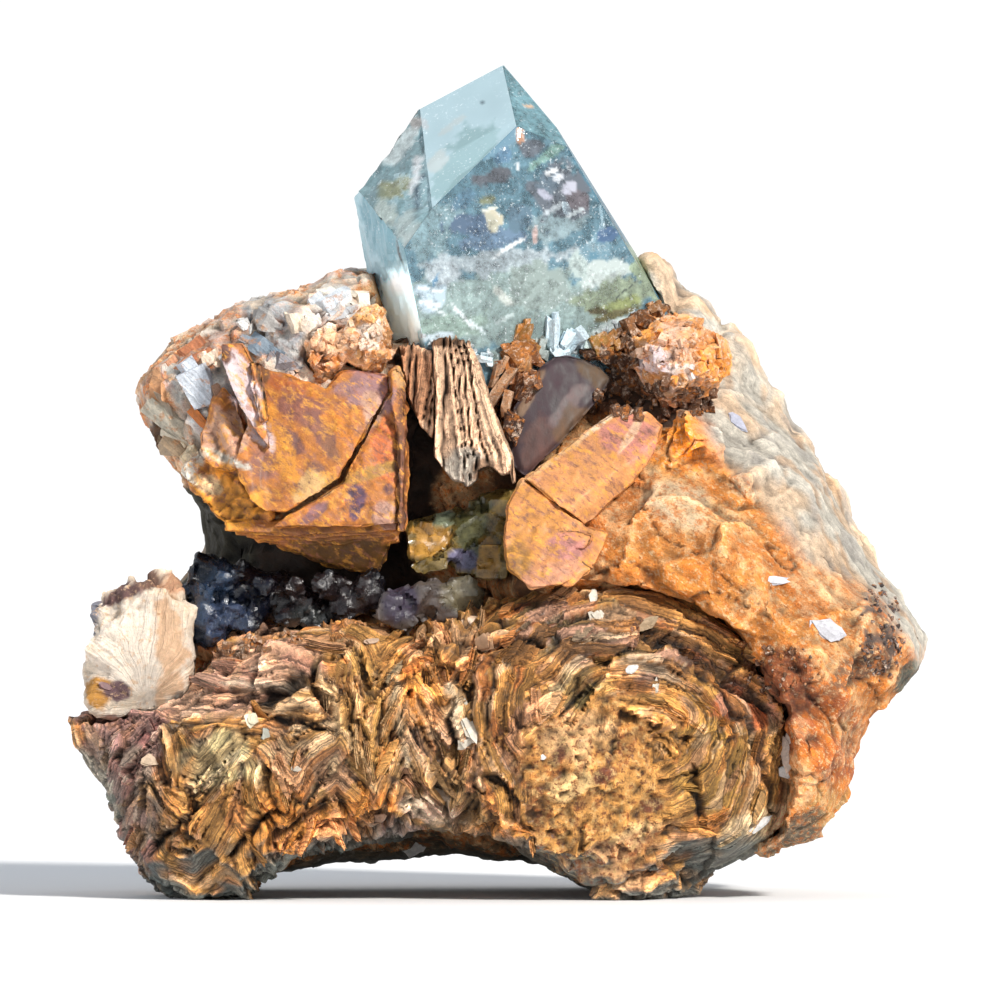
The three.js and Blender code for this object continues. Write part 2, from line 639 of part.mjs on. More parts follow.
const pieces = [
  ["feldspar_matrix", matrix, surface(0xe3b27c, 0.85)],
  ["mica_mass", mass, surface(0xa9743a, 0.6, 0.1)],
  ["topaz_crystal", topaz, surface(0x9fc6cc, 0.05)],
  ["mica_book_large", bookLarge, surface(0xc98a4a, 0.5, 0.1)],
  ["mica_book_ridged", bookRidged, surface(0xc79a72, 0.65)],
  ["mica_disc_purple", disc, surface(0x5f4a52, 0.35, 0.2)],
  ["mica_book_tan", bookTan, surface(0xe0a067, 0.5, 0.1)],
  ["mica_leaves_olive", leavesOlive, surface(0x7c6a35, 0.3, 0.1)],
  ["feldspar_knobs_left", knobsLeft, surface(0xd08c46, 0.8)],
  ["feldspar_knob_right", knobRight, surface(0xdb9c5c, 0.8)],
  ["feldspar_fan", fan, surface(0xeedcc4, 0.8)],
  ["quartz_smoky", quartzSmoky, surface(0x303c52, 0.25)],
  ["quartz_grey", quartzGrey, surface(0x6d6260, 0.4)],
];

const specimen = new THREE.Group();
specimen.name = "topaz_specimen";
for (const [name, piece, material] of pieces) {
  const mesh = new THREE.Mesh(geometryOf(piece.solid), material);
  mesh.name = name;
  specimen.add(mesh);
}

// The origin goes under the middle of the specimen's box.
const box = new THREE.Box3().setFromObject(specimen);
const middle = box.getCenter(new THREE.Vector3());
specimen.position.set(-middle.x, -middle.y, 0);

export default specimen;
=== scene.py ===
# %% [markdown]
# # A blue topaz crystal on its matrix
#
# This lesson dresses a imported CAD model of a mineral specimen: a clear blue topaz that stands in a
# saddle of rusty mica and iron-stained feldspar. The CAD solids carry the main forms. Here they
# get the broken leaves, grains, stains and glassy depths that make a stone look like a stone.

import math
from itertools import product

import bmesh
import bpy
import numpy as np
from mathutils import Matrix, Vector
from mathutils.bvhtree import BVHTree


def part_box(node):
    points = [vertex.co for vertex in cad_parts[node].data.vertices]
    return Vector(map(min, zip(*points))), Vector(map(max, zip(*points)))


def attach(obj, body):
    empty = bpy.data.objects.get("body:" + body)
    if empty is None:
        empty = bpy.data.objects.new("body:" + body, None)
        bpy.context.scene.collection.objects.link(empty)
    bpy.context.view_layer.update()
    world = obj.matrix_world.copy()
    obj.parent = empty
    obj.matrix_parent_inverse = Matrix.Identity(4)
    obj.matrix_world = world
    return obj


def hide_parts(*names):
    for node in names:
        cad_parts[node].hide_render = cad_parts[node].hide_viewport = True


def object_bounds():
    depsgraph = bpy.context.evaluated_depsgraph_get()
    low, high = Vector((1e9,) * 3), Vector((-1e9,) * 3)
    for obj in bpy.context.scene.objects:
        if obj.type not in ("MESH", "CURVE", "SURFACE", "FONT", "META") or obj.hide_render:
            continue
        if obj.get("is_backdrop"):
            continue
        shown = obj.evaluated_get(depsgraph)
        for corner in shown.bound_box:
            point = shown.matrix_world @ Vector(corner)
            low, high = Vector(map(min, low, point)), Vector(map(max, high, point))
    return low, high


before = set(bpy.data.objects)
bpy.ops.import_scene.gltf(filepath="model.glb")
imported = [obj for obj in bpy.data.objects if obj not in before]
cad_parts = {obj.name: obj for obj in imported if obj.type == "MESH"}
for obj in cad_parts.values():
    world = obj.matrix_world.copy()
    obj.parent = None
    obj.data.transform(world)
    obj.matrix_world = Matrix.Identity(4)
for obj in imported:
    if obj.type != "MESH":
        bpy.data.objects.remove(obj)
cad_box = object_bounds()
print("nodes:", len(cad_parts))

# %% [markdown]
# The specimen was drawn in millimetres, as seen from the front: x to the right, z up and y away
# from the viewer. Blender works in metres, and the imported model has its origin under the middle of
# its box. So two small functions turn a place on the drawing into a place in the scene, and back.
# All the sizes below are millimetres on the drawing. Two more functions make objects.

# %% Millimetres on the drawing, metres in the scene
MM = 0.001
DRAWING_ORIGIN = np.array([-0.328, 0.853, 0.0])  # where the drawing's origin lies, in mm


def in_scene(points):
    """Drawing millimetres to scene metres."""
    return (np.asarray(points, float) + DRAWING_ORIGIN) * MM


def on_drawing(points):
    """Scene metres to drawing millimetres."""
    return np.asarray(points, float) / MM - DRAWING_ORIGIN


def linked(name, data):
    """A new object of the scene."""
    thing = bpy.data.objects.new(name, data)
    bpy.context.scene.collection.objects.link(thing)
    return thing


def as_data(mesh, name):
    """The bmesh as mesh data. The bmesh itself is freed."""
    data = bpy.data.meshes.new(name)
    mesh.to_mesh(data)
    mesh.free()
    return data


def as_piece(mesh, name):
    return linked(name, as_data(mesh, name))


tip = max((v.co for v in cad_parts["topaz_crystal"].data.vertices), key=lambda co: co.z)
print("tip of the crystal on the drawing:", np.round(on_drawing(tip), 2))

# %% [markdown]
# The camera comes first, because everything is judged through it. A long lens from a metre away
# keeps the proportions calm: the frame is 100 mm wide at the specimen, and the camera looks level.

# %% The camera
VIEW_HEIGHT = 39.3  # height of the camera and of the middle of its picture
VIEW_DISTANCE = 1000
camera = linked("camera", bpy.data.cameras.new("camera"))
camera.data.sensor_width = 36
camera.data.lens = 360
camera.data.clip_end = 100
camera.location = in_scene([0.2, -VIEW_DISTANCE, VIEW_HEIGHT])
camera.rotation_euler = (math.radians(90), 0, 0)
bpy.context.scene.camera = camera

# %% [markdown]
# Materials, and the studio too, are small node trees. A few helpers keep them short: `put` adds a
# node and fills its inputs, and the others are the sums that are needed most.

# %% Node helpers
def fill(tree, node, inputs):
    """Fills inputs of a node, each with a plain value or with the output of another node."""
    for key, value in inputs.items():
        if isinstance(value, bpy.types.NodeSocket):
            tree.links.new(value, node.inputs[key])
        else:
            node.inputs[key].default_value = value


def put(tree, kind, inputs, **settings):
    """Adds a node, fills its inputs and gives its outputs."""
    made = tree.nodes.new("ShaderNode" + kind)
    for key, value in settings.items():
        setattr(made, key, value)
    fill(tree, made, inputs)
    return made.outputs


def ranged(tree, value, low, high, to_low, to_high):
    """The value, moved from one range to another and kept inside it."""
    inputs = {"Value": value, "From Min": low, "From Max": high, "To Min": to_low, "To Max": to_high}
    return put(tree, "MapRange", inputs)[0]


def joined(tree, how, a, b):
    return put(tree, "Math", {0: a, 1: b}, operation=how)[0]


def times(tree, a, b):
    return joined(tree, "MULTIPLY", a, b)


def mixed(tree, share, a, b):
    return put(tree, "Mix", {0: share, 6: a, 7: b}, data_type="RGBA")[2]


def scaled(tree, vector, factor):
    """A place or a colour times one factor."""
    return put(tree, "VectorMath", {0: vector, "Scale": factor}, operation="SCALE")[0]


def drawn_out(tree, where, factors):
    """The place times a factor for each axis, so that what reads it is drawn out or pressed."""
    return put(tree, "VectorMath", {0: where, 1: factors}, operation="MULTIPLY")[0]


def noise(tree, where, size, detail=4.0, rough=0.6):
    """Noise whose swells are `size` mm across, read in millimetres."""
    inputs = {"Vector": where, "Scale": 1 / size, "Detail": detail, "Roughness": rough}
    return put(tree, "TexNoise", inputs)["Fac"]


def bumped(tree, relief, depth):
    """The normal of a surface whose relief is `depth` mm deep."""
    return put(tree, "Bump", {"Height": relief, "Distance": depth * MM, "Strength": 1.0})[0]


def written(tree, name, kind="Fac"):
    """The number or the colour that is written in the vertices under a name."""
    return put(tree, "Attribute", {}, attribute_name=name)[kind]


def new_finish(name):
    """A material, its node tree, its shader, and the place of the surface in millimetres."""
    material = bpy.data.materials.new(name)
    material.use_nodes = True
    tree = material.node_tree
    where = scaled(tree, put(tree, "TexCoord", {})["Object"], 1 / MM)
    return material, tree, tree.nodes["Principled BSDF"], where


# %% [markdown]
# Stones look most real in one clear light with a gentle fill. The key light is a wide, soft sun
# from the upper right, in front. The world is a pale studio. It is white round the horizon, where
# the camera looks, and behind the specimen, because a clear crystal shows what is behind it. Stone
# gets less light from there, or its outline would be washed out. In front and above it is dimmer
# and bluish, so that hollows stay dark. A weak wide light from the left lifts the shaded side.
# Neither disc is seen through the crystal.

# %% Light and floor
def sun(name, source, energy, degrees):
    """A sun that shines from the way of its source, with a disc some degrees wide."""
    lamp = linked(name, bpy.data.lights.new(name, "SUN"))
    lamp.data.energy = energy
    lamp.data.angle = math.radians(degrees)
    lamp.rotation_euler = Vector(source).to_track_quat("Z", "Y").to_euler()
    lamp.visible_transmission = False
    return lamp


sun("key", (0.62, -0.78, 0.72), 4.5, 9).data.color = (1.0, 0.965, 0.91)
sun("fill", (-1.0, -0.12, 0.12), 0.9, 50).visible_glossy = False

world = bpy.data.worlds.new("studio")
world.use_nodes = True
bpy.context.scene.world = world
sky = world.node_tree
sky_parts = put(sky, "SeparateXYZ", {0: put(sky, "TexCoord", {})["Generated"]})
round_horizon = ranged(sky, sky_parts["Z"], 0.12, 0.32, 1.0, 0.0)
behind = ranged(sky, sky_parts["Y"], -0.10, 0.30, 0.0, 1.0)
pale_share = joined(sky, "MAXIMUM", round_horizon, behind)
for_stone = put(sky, "LightPath", {})["Is Diffuse Ray"]
white = mixed(sky, for_stone, (1.05, 1.05, 1.05, 1), (0.62, 0.64, 0.67, 1))
fill(sky, sky.nodes["Background"], {"Color": mixed(sky, pale_share, (0.34, 0.40, 0.47, 1), white)})
bpy.context.scene.view_settings.view_transform = "Standard"

FLOOR_HALF = 6.0  # metres
floor_mesh = bmesh.new()
bmesh.ops.create_grid(floor_mesh, x_segments=1, y_segments=1, size=FLOOR_HALF)
floor = as_piece(floor_mesh, "floor")
floor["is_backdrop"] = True
floor_paint, floor_tree, floor_shader, _ = new_finish("pale_floor")
fill(floor_tree, floor_shader, {"Base Color": (0.86, 0.86, 0.87, 1), "Roughness": 0.9})
floor.data.materials.append(floor_paint)
print("camera, key light, studio and floor are set")

# %% [markdown]
# ## Randomness that stays the same
#
# Broken stone needs irregularity, and a lesson needs the same result each time. Both come from a
# hash: whole-number cells of space each get a fixed random number. `clouds` blends them smoothly,
# for soft swells and stains. `shards` gives each point the middle of its nearest random cell, which
# makes the flat chips and blocks that a hammer blow leaves.

# %% Clouds and shards
def drawn_lot(cells, seed):
    """A fixed random number from 0 to 1 for each whole-number cell."""
    c = cells.astype(np.int64).astype(np.uint64)
    n = c[:, 0] * np.uint64(0x9E3779B1) + c[:, 1] * np.uint64(0x85EBCA77) + c[:, 2] * np.uint64(0xC2B2AE3D)
    n = (n + np.uint64(seed * 0x27D4EB2F + 0x165667B1)) & np.uint64(0xFFFFFFFF)
    for shift, factor in ((15, 0x2C1B3C6D), (12, 0x297A2D39), (15, 0x85EBCA6B)):
        n = ((n ^ (n >> np.uint64(shift))) * np.uint64(factor)) & np.uint64(0xFFFFFFFF)
    return (n & np.uint64(0xFFFFFF)).astype(float) / 0xFFFFFF


def clouds(points, size, seed=0, octaves=1):
    """Soft noise from about -1 to 1 whose swells are `size` mm across; octaves add finer swells."""
    total = np.zeros(len(points))
    for octave in range(octaves):
        p = points / size * 2**octave + 0.37 * (seed + 1)
        cell = np.floor(p)
        t = p - cell
        t = t * t * (3 - 2 * t)
        for corner in product((0, 1), repeat=3):
            share = np.prod(np.where(corner, t, 1 - t), axis=1)
            total += share * (drawn_lot(cell + corner, seed + 31 * octave) * 2 - 1) / 2**octave
    return total


def shards(points, size, seed=0):
    """The random cells of space, `size` mm across, that the points lie in.

    Returns each point's offset from the middle of its cell, the cell's three random numbers, and
    how far it is to the next cell.
    """
    p = points / size
    home = np.floor(p)
    nearest = np.full(len(p), 9.0)
    second = nearest.copy()
    offset, lot = np.zeros_like(p), np.zeros_like(p)
    for step in product((-1, 0, 1), repeat=3):
        cell = home + step
        middle = np.stack([drawn_lot(cell, seed + 101 * k) for k in range(3)], 1)
        away = p - cell - middle
        distance = np.linalg.norm(away, axis=1)
        nearer = distance < nearest
        second = np.where(nearer, nearest, np.minimum(second, distance))
        offset[nearer] = away[nearer]
        lot[nearer] = middle[nearer]
        nearest = np.minimum(nearest, distance)
    return offset * size, lot, (second - nearest) * size


def chipped(points, size, depth, seed=0):
    """The height of a surface broken into flat, tilted chips, in mm."""
    offset, lot, _ = shards(points, size, seed)
    tilt = np.sum(offset * (lot - 0.5), axis=1) / size
    return depth * (lot[:, 0] - 0.5 + 1.6 * tilt)


def unit(vectors):
    """Each vector made one long."""
    vectors = np.asarray(vectors, float)
    return vectors / np.maximum(np.linalg.norm(vectors, axis=-1, keepdims=True), 1e-9)


def blocks(points, size, seed=0, steep=0.9):
    """The height, from about 0 to 1, of a heap of broken blocks `size` mm across.

    Each random cell holds one block with three random pairs of flat sides. The heap is the highest
    block at each point, so its faces are flat and its edges are sharp.
    """
    p = points / size
    home = np.floor(p)
    height = np.full(len(p), -1.0)
    for step in product((-1, 0, 1), repeat=3):
        cell = home + step
        lots = [drawn_lot(cell, seed * 13 + 211 * k) for k in range(10)]
        away = p - cell - np.stack(lots[:3], 1)
        one = unit(np.stack(lots[3:6], 1) - 0.5)
        three = unit(np.cross(one, np.stack(lots[6:9], 1) - 0.5))
        two = np.cross(three, one)
        reach = np.max([np.abs(np.sum(away * way, axis=1)) for way in (one, two, three)], axis=0)
        top = 0.55 + 0.45 * lots[9]
        height = np.maximum(height, np.minimum(top, 1.15 * top - steep * (reach - 0.25)))
    return np.clip(height, 0, 1)


def eased(value, low, high):
    """0 below low, 1 above high, and smooth between. Low may be the larger."""
    t = np.clip((value - low) / (high - low), 0, 1)
    return t * t * (3 - 2 * t)


# %% [markdown]
# ## From a CAD solid to something that can be carved
#
# A CAD node is a shell of large loose triangles and stays untouched. A copy is merged, and a Voxel
# Remesh lays an even skin of small quads over it. Then every vertex is a grain that can be pushed
# in or out by a few tenths of a millimetre, which is how the surfaces below are carved.

# %% Even skins
def bmesh_of(node):
    """A merged copy of a CAD node."""
    mesh = bmesh.new()
    mesh.from_mesh(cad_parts[node].data)
    bmesh.ops.remove_doubles(mesh, verts=mesh.verts, dist=0.0005 * MM)
    return mesh


def even_skin(mesh, name, voxel):
    """The closed bmesh as an object with an even skin of quads, `voxel` mm across."""
    piece = as_piece(mesh, name)
    remesh = piece.modifiers.new("even skin", "REMESH")
    remesh.mode = "VOXEL"
    remesh.voxel_size = voxel * MM
    bpy.context.view_layer.update()
    skin = bpy.data.meshes.new_from_object(piece.evaluated_get(bpy.context.evaluated_depsgraph_get()))
    piece.modifiers.clear()
    piece.data = skin
    skin.name = name
    skin.shade_smooth()
    return piece


def read_threes(items, what):
    flat = np.empty(len(items) * 3, np.float32)
    items.foreach_get(what, flat)
    return flat.reshape(-1, 3)


def points_of(piece):
    """Its vertices, in drawing millimetres."""
    return on_drawing(read_threes(piece.data.vertices, "co"))


def normals_of(piece):
    return read_threes(piece.data.vertex_normals, "vector").astype(float)


def move_to(piece, points):
    """Moves its vertices, but none below the floor."""
    scene_points = in_scene(points)
    scene_points[:, 2] = np.maximum(scene_points[:, 2], 0)
    piece.data.vertices.foreach_set("co", scene_points.astype(np.float32).ravel())
    piece.data.update()


def blurred(piece, values, times_over):
    """The values of the vertices, each averaged with its neighbours, several times over."""
    ends = np.empty(len(piece.data.edges) * 2, np.int32)
    piece.data.edges.foreach_get("vertices", ends)
    a, b = ends.reshape(-1, 2).T
    count = len(piece.data.vertices)
    friends = np.maximum(np.bincount(a, minlength=count) + np.bincount(b, minlength=count), 1)
    for _ in range(times_over):
        around = [
            np.bincount(a, column[b], count) + np.bincount(b, column[a], count) for column in values.T
        ]
        values = 0.5 * values + 0.5 * np.stack(around, 1) / friends[:, None]
    return values


def remember(piece, name, values):
    """Writes a number or a colour for each vertex, for the material to read."""
    values = np.asarray(values, float)
    if values.ndim == 1:
        layer = piece.data.attributes.new(name, "FLOAT", "POINT")
        layer.data.foreach_set("value", values.astype(np.float32))
    else:
        layer = piece.data.attributes.new(name, "FLOAT_COLOR", "POINT")
        rgba = np.concatenate([values, np.ones((len(values), 1))], 1)
        layer.data.foreach_set("color", rgba.astype(np.float32).ravel())


def push(piece, height, smooth):
    """Moves each vertex by a height in mm along its normal, which is smoothed first."""
    way = unit(blurred(piece, normals_of(piece), smooth))
    move_to(piece, points_of(piece) + way * height[:, None])


def group_means(owner, values):
    """The mean of each column of the values over every numbered group."""
    return np.stack([np.bincount(owner, column) for column in values.T], 1) / np.bincount(owner)[:, None]


def hewn(piece, size, tilt, seed, share=1.0, run=None, most=0.8):
    """Breaks the skin into flat faces about `size` mm across, as cleaved stone has.

    Each random cell of the skin is pressed onto its own middle plane, which leans by up to `tilt`
    degrees. `run` may give other coordinates for the cells, for drawn-out faces.
    """
    points, normals = points_of(piece), blurred(piece, normals_of(piece), 5)
    _, lot, _ = shards(points if run is None else run, size, seed)
    _, owner = np.unique(np.round(lot, 6), axis=0, return_inverse=True)
    owner = owner.ravel()
    middle, way = group_means(owner, points), unit(group_means(owner, normals))
    way += math.tan(math.radians(tilt)) * np.random.default_rng(seed).uniform(-1, 1, way.shape)
    way = unit(way)[owner]
    away = np.clip(np.sum((points - middle[owner]) * way, axis=1), -most, most)
    move_to(piece, points - (share * away)[:, None] * way)


def crisp(piece, degrees=38):
    """Smooth shading with sharp edges where the skin turns by more than some degrees."""
    piece.data.shade_smooth()
    piece.data.set_sharp_from_angle(angle=math.radians(degrees))


# %% [markdown]
# ## Colours in patches
#
# Iron water has run over this stone, so its colour lies in patches: cream where the feldspar is
# fresh, orange and rust where the water stood. A few patches are painted light instead: shade in
# recesses and under the large book, and highlights and sheen on the books. Each patch is an ellipse
# on the front, with a frayed edge. It is written into the vertices, and the material adds the fine
# grain to it.
#
# Colours are listed as the eye reads them: red, green and blue from 0 to 255. A fourth number makes
# one lighter, for places that hardly any light reaches. `tone` turns them into light values.

# %% Patches of colour
def tone(red, green, blue, light=1.0):
    """The light values that Blender mixes, of a colour as the eye reads it."""
    share = np.array([red, green, blue]) / 255
    return light * np.where(share <= 0.04045, share / 12.92, ((share + 0.055) / 1.055) ** 2.4)


CREAM, PALE_CREAM, WHITE = (240, 208, 168), (236, 226, 208), (246, 244, 240)
PEACH, ORANGE, RUST = (238, 180, 124), (226, 146, 66), (176, 92, 44)
GOLD, GOLD_BROWN, RED_BROWN, DARK_BROWN = (216, 160, 88), (178, 124, 66), (132, 72, 42), (92, 62, 38)
PINK_TAN, MAUVE, PURPLE_GREY = (206, 158, 132), (150, 108, 108), (128, 108, 104)
COOL_GREY, MOSS_GREY, OLIVE = (176, 178, 178), (96, 98, 84), (122, 104, 52)


def toward(colour, share, tint):
    """The colours, moved toward a tint by a share for each point."""
    return colour + np.reshape(share, (-1, 1)) * (tint - colour)


def patched(points, ground, patches, seed, fray=0.35, soft=0.2, size=3.2, read=tone):
    """A colour for each point: the ground, then the patches over it, in order.

    A patch is the x and z of its middle, its two half sizes, its turn in degrees and its colour.
    """
    ragged = fray * clouds(points, size, seed, 4)
    colour = np.asarray(ground, float)
    for x, z, half_long, half_wide, turn, tint in patches:
        c, s = math.cos(math.radians(turn)), math.sin(math.radians(turn))
        dx, dz = points[:, 0] - x, points[:, 2] - z
        reach = np.hypot((dx * c + dz * s) / half_long, (dz * c - dx * s) / half_wide)
        colour = toward(colour, eased(reach + ragged, 1 + soft, 1 - soft), read(*tint))
    return np.broadcast_to(colour, (len(points), colour.shape[-1])).copy()


def lots_of(points, size, seed, tints):
    """A colour for each point: every random cell of stone, `size` mm across, draws one tint."""
    _, lot, _ = shards(points, size, seed)
    tints = np.array([tone(*tint) for tint in tints])
    return tints[(lot[:, 1] * len(tints)).astype(int).clip(0, len(tints) - 1)]


def note_hollows(piece, reach, depth):
    """Remembers how far each vertex lies below its surroundings: 1 in a cleft, -1 on a crest."""
    points = points_of(piece)
    below = np.sum((blurred(piece, points, reach) - points) * normals_of(piece), axis=1)
    remember(piece, "hollow", np.clip(below / depth, -1, 1))


def dress(piece, finish, paint, reach=0, depth=0.2):
    """Writes the paint, notes the hollows where a reach is given, and adds the finish."""
    remember(piece, "paint", paint)
    if reach:
        note_hollows(piece, reach, depth)
    piece.data.materials.append(finish)


# %% [markdown]
# ## Materials
#
# All the stone materials share one recipe. The colour written in the vertices is multiplied by
# broad and fine noise, by fine lines where the stone is leafy, and by the hollows: these are painted
# darker, for dirt and as painted shade, and the crests are painted lighter, as a painted highlight.
# The same noise gives the bump and breaks up the gloss. Every pattern reads Object coordinates or
# an attribute, so it stays on the stone from any side. Where a piece is written `plain` it gets no
# specks, and where it is written `grainy` it gets no leaf lines.

# %% The stone recipe
def stone(name, grain, grit=0.3, mottle=0.16, lines=0.0, per_mm=2.6, rough=(0.55, 0.9), dirt_and_shade=0.7,
          bump=0.2, gloss=0.0, specks=(), streak=(0, 1)):
    """A stone finish.

    grain: size of the grains in mm. grit, mottle, lines: how strongly grains, clouds and leaf lines
    darken and lighten it. per_mm: leaf lines in a mm. dirt_and_shade: how dark the hollows are painted,
    for dirt and as painted shade; the crests are painted lighter by 0.3 of it, as a painted highlight.
    bump: depth of the relief in mm. gloss: weight of the glassy coat. specks: kinds of scattered specks,
    each a colour, a size in mm, and the share of the surface that they cover. streak: the way in degrees
    in which the specks are drawn out, and how many times.
    """
    material, tree, shader, where = new_finish(name)
    angle = {"Vector": where, "Angle": math.radians(streak[0])}
    turned = put(tree, "VectorRotate", angle, rotation_type="Y_AXIS")[0]
    drawn = drawn_out(tree, turned, (1 / streak[1], 1, 1))
    grains, fine = noise(tree, drawn, grain, 6, 0.7), noise(tree, where, grain / 3, 3, 0.6)
    shade = times(
        tree, ranged(tree, grains, 0.3, 0.7, 1 - grit, 1 + grit),
        ranged(tree, noise(tree, where, 2.6, 3), 0.3, 0.7, 1 - mottle, 1 + mottle),
    )
    shade = times(tree, shade, ranged(tree, fine, 0.3, 0.7, 1 - 0.7 * grit, 1 + 0.7 * grit))
    relief = joined(tree, "ADD", grains, times(tree, fine, 0.35))
    if lines:
        wobble = ranged(tree, noise(tree, where, 0.9, 3), 0, 1, -0.35, 0.35)
        along = times(tree, joined(tree, "ADD", written(tree, "layer"), wobble), per_mm)
        inputs = {"W": along, "Scale": 1.0, "Detail": 3.0, "Roughness": 0.7}
        thin = put(tree, "TexNoise", inputs, noise_dimensions="1D")["Fac"]
        shown = mixed(tree, written(tree, "grainy"), thin, (0.5, 0.5, 0.5, 1))
        shade = times(tree, shade, ranged(tree, shown, 0.28, 0.72, 1 - lines, 1 + 0.7 * lines))
        relief = joined(tree, "ADD", relief, times(tree, shown, 1.4))
    # Hollows are painted darker, for dirt and as shade, and crests lighter, as a painted highlight.
    shade = times(tree, shade, ranged(tree, written(tree, "hollow"), -1, 1, 1 + 0.3 * dirt_and_shade, 1 - dirt_and_shade))
    colour = written(tree, "paint", "Color")
    speckled = ranged(tree, written(tree, "plain"), 0, 1, 0.75, 0)
    for tint, size, cover in specks:
        edge = 0.5 + 0.22 * (0.5 - cover)
        dots = ranged(tree, noise(tree, drawn, size, 6, 0.72), edge - 0.045, edge + 0.045, 0, 1)
        colour = mixed(tree, times(tree, dots, speckled), colour, (*tone(*tint), 1))
    fill(tree, shader, {
        "Base Color": scaled(tree, colour, shade),
        "Roughness": ranged(tree, grains, 0.3, 0.7, *rough),
        "Normal": bumped(tree, relief, bump),
        "Coat Weight": gloss,
        "Coat Roughness": 0.25,
    })
    return material


FELDSPAR = stone(
    "stained_feldspar", 0.36, 0.34, 0.12, rough=(0.6, 0.95), dirt_and_shade=0.75, bump=0.3, streak=(-38, 1.6),
    specks=[((222, 122, 34), 0.7, 0.34), ((244, 206, 156), 0.42, 0.2), ((130, 70, 32), 0.36, 0.1)],
)
PALE_FELDSPAR = stone(
    "pale_feldspar", 0.4, 0.24, 0.12, bump=0.24,
    specks=[((214, 178, 136), 1.8, 0.14), ((240, 234, 222), 1.1, 0.22)],
)
GREY_CRYSTAL = stone(
    "grey_crystal", 0.5, 0.2, lines=0.3, per_mm=1.6, rough=(0.35, 0.75), dirt_and_shade=0.6, bump=0.14,
    specks=[((200, 140, 88), 1.3, 0.08)],
)
RUSTY_KNOB = stone(
    "rusty_feldspar", 0.45, 0.26, rough=(0.5, 0.9),
    specks=[((244, 216, 192), 0.6, 0.2), ((224, 136, 52), 0.8, 0.2), ((110, 66, 38), 0.5, 0.08)],
)
FAN_CREAM = stone(
    "cream_feldspar", 0.4, 0.12, 0.08, lines=0.16, rough=(0.6, 0.9), dirt_and_shade=0.4,
    specks=[((228, 188, 148), 0.6, 0.12)],
)
LEAFY_MICA = stone(
    "brown_mica", 0.4, 0.3, 0.22, lines=0.8, per_mm=3.4, rough=(0.35, 0.75), dirt_and_shade=0.9, bump=0.3, gloss=0.05,
    specks=[((242, 200, 132), 0.8, 0.26), ((196, 106, 34), 1.0, 0.26), ((104, 56, 28), 0.5, 0.2)],
)
RUSTY_MICA = stone(
    "rusty_mica", 0.4, 0.2, 0.2, lines=0.12, per_mm=1.2, rough=(0.45, 0.8), dirt_and_shade=0.75, bump=0.1, gloss=0.04,
    streak=(-40, 2.4),
    specks=[((172, 110, 82), 0.9, 0.18), ((230, 160, 62), 0.8, 0.2), ((120, 76, 66), 0.5, 0.06)],
)
TAN_MICA = stone(
    "tan_mica", 0.35, lines=0.6, rough=(0.5, 0.85), dirt_and_shade=0.9, bump=0.24, specks=[((110, 72, 50), 0.6, 0.10)],
)
CHIP = stone("pearly_chip", 0.35, 0.14, 0.1, lines=0.2, rough=(0.3, 0.65), dirt_and_shade=0.4, bump=0.08, gloss=0.15)
print("stone materials:", len(bpy.data.materials))

# %% [markdown]
# ## The feldspar
#
# The body of the specimen is feldspar. It broke along flat cleavages, and the weather has crumbled
# its stained front into grains. One CAD node carries it, but two pieces dress it: the front slope,
# which is looked at closely, gets a finer skin than the back. They are cut from the same copy and
# overlap by a millimetre, so no seam opens between them.

# %% Cut the copy in two
def slice_off(mesh, point, way, close=True):
    """Cuts away what lies beyond a plane, in scene metres, and closes a closed bmesh again."""
    geometry = mesh.verts[:] + mesh.edges[:] + mesh.faces[:]
    cut = bmesh.ops.bisect_plane(
        mesh, geom=geometry, plane_co=Vector(point), plane_no=Vector(way), clear_outer=True
    )
    if close:
        rim = [edge for edge in cut["geom_cut"] if isinstance(edge, bmesh.types.BMEdge)]
        bmesh.ops.holes_fill(mesh, edges=rim, sides=0)


def half_skin(name, depth, way, voxel):
    """The feldspar up to an upright plane at a depth, with an even skin."""
    mesh = bmesh_of("feldspar_matrix")
    slice_off(mesh, in_scene([0, depth, 0]), way)
    return even_skin(mesh, name, voxel)


SLOPE_BACK, OVERLAP = 3.0, 1.0  # depth of the plane that parts the front from the back
slope = half_skin("feldspar_front", SLOPE_BACK + OVERLAP, (0, 1, 0), 0.38)
body = half_skin("feldspar_back", SLOPE_BACK, (0, -1, 0), 0.5)
print("feldspar quads:", len(slope.data.polygons), len(body.data.polygons))

# %% [markdown]
# Four things carve it: flat cleavage faces of three sizes, soft swells, long cracks that run down
# the slope to the right, and, on the pale ridge, upright grooves. The streaks come from reading the
# same noise in stretched coordinates. On the left the stone is kept behind the crystal's side face,
# so that it shows through the glass there instead of hiding it.

# %% Carve the feldspar
def streaked(points, turn, stretch):
    """The points with x and z turned, and squeezed along the streaks, so that noise draws out."""
    c, s = math.cos(math.radians(turn)), math.sin(math.radians(turn))
    x, y, z = points.T
    return np.stack([(x * c + z * s) / stretch, y, z * c - x * s], 1)


def ridge_share(points):
    """1 on the pale ridge at the upper right and on the back, 0 on the stained slope."""
    x, y, z = points.T
    above = (x - 13.5) * 0.80 + (z - 55.0) * 0.60  # mm beyond the line down the ridge's foot
    above = above - 3.2 * eased(z, 34, 30)
    near = above + 1.2 * clouds(points, 4, 21, 2)
    return np.maximum(eased(near, -1.0, 1.5), eased(y + 2.4 * clouds(points, 6, 22, 3), 0.4, 3.4))


RUBBLE = [(38.2, 25.6, 2.8, 5.2), (28.0, 22.5, 4.4, 3.0), (15.4, 49.0, 6.5, 2.2), (30.5, 15, 3, 3)]


def rubble_share(points):
    """1 where the front is a crust of small dark chips, 0 elsewhere."""
    share = np.zeros(len(points))
    for x, z, wide, tall in RUBBLE:
        reach = np.hypot((points[:, 0] - x) / wide, (points[:, 2] - z) / tall)
        share = np.maximum(share, eased(reach + 0.3 * clouds(points, 2, 16, 2), 1.2, 0.8))
    return share * (points[:, 1] < 0)


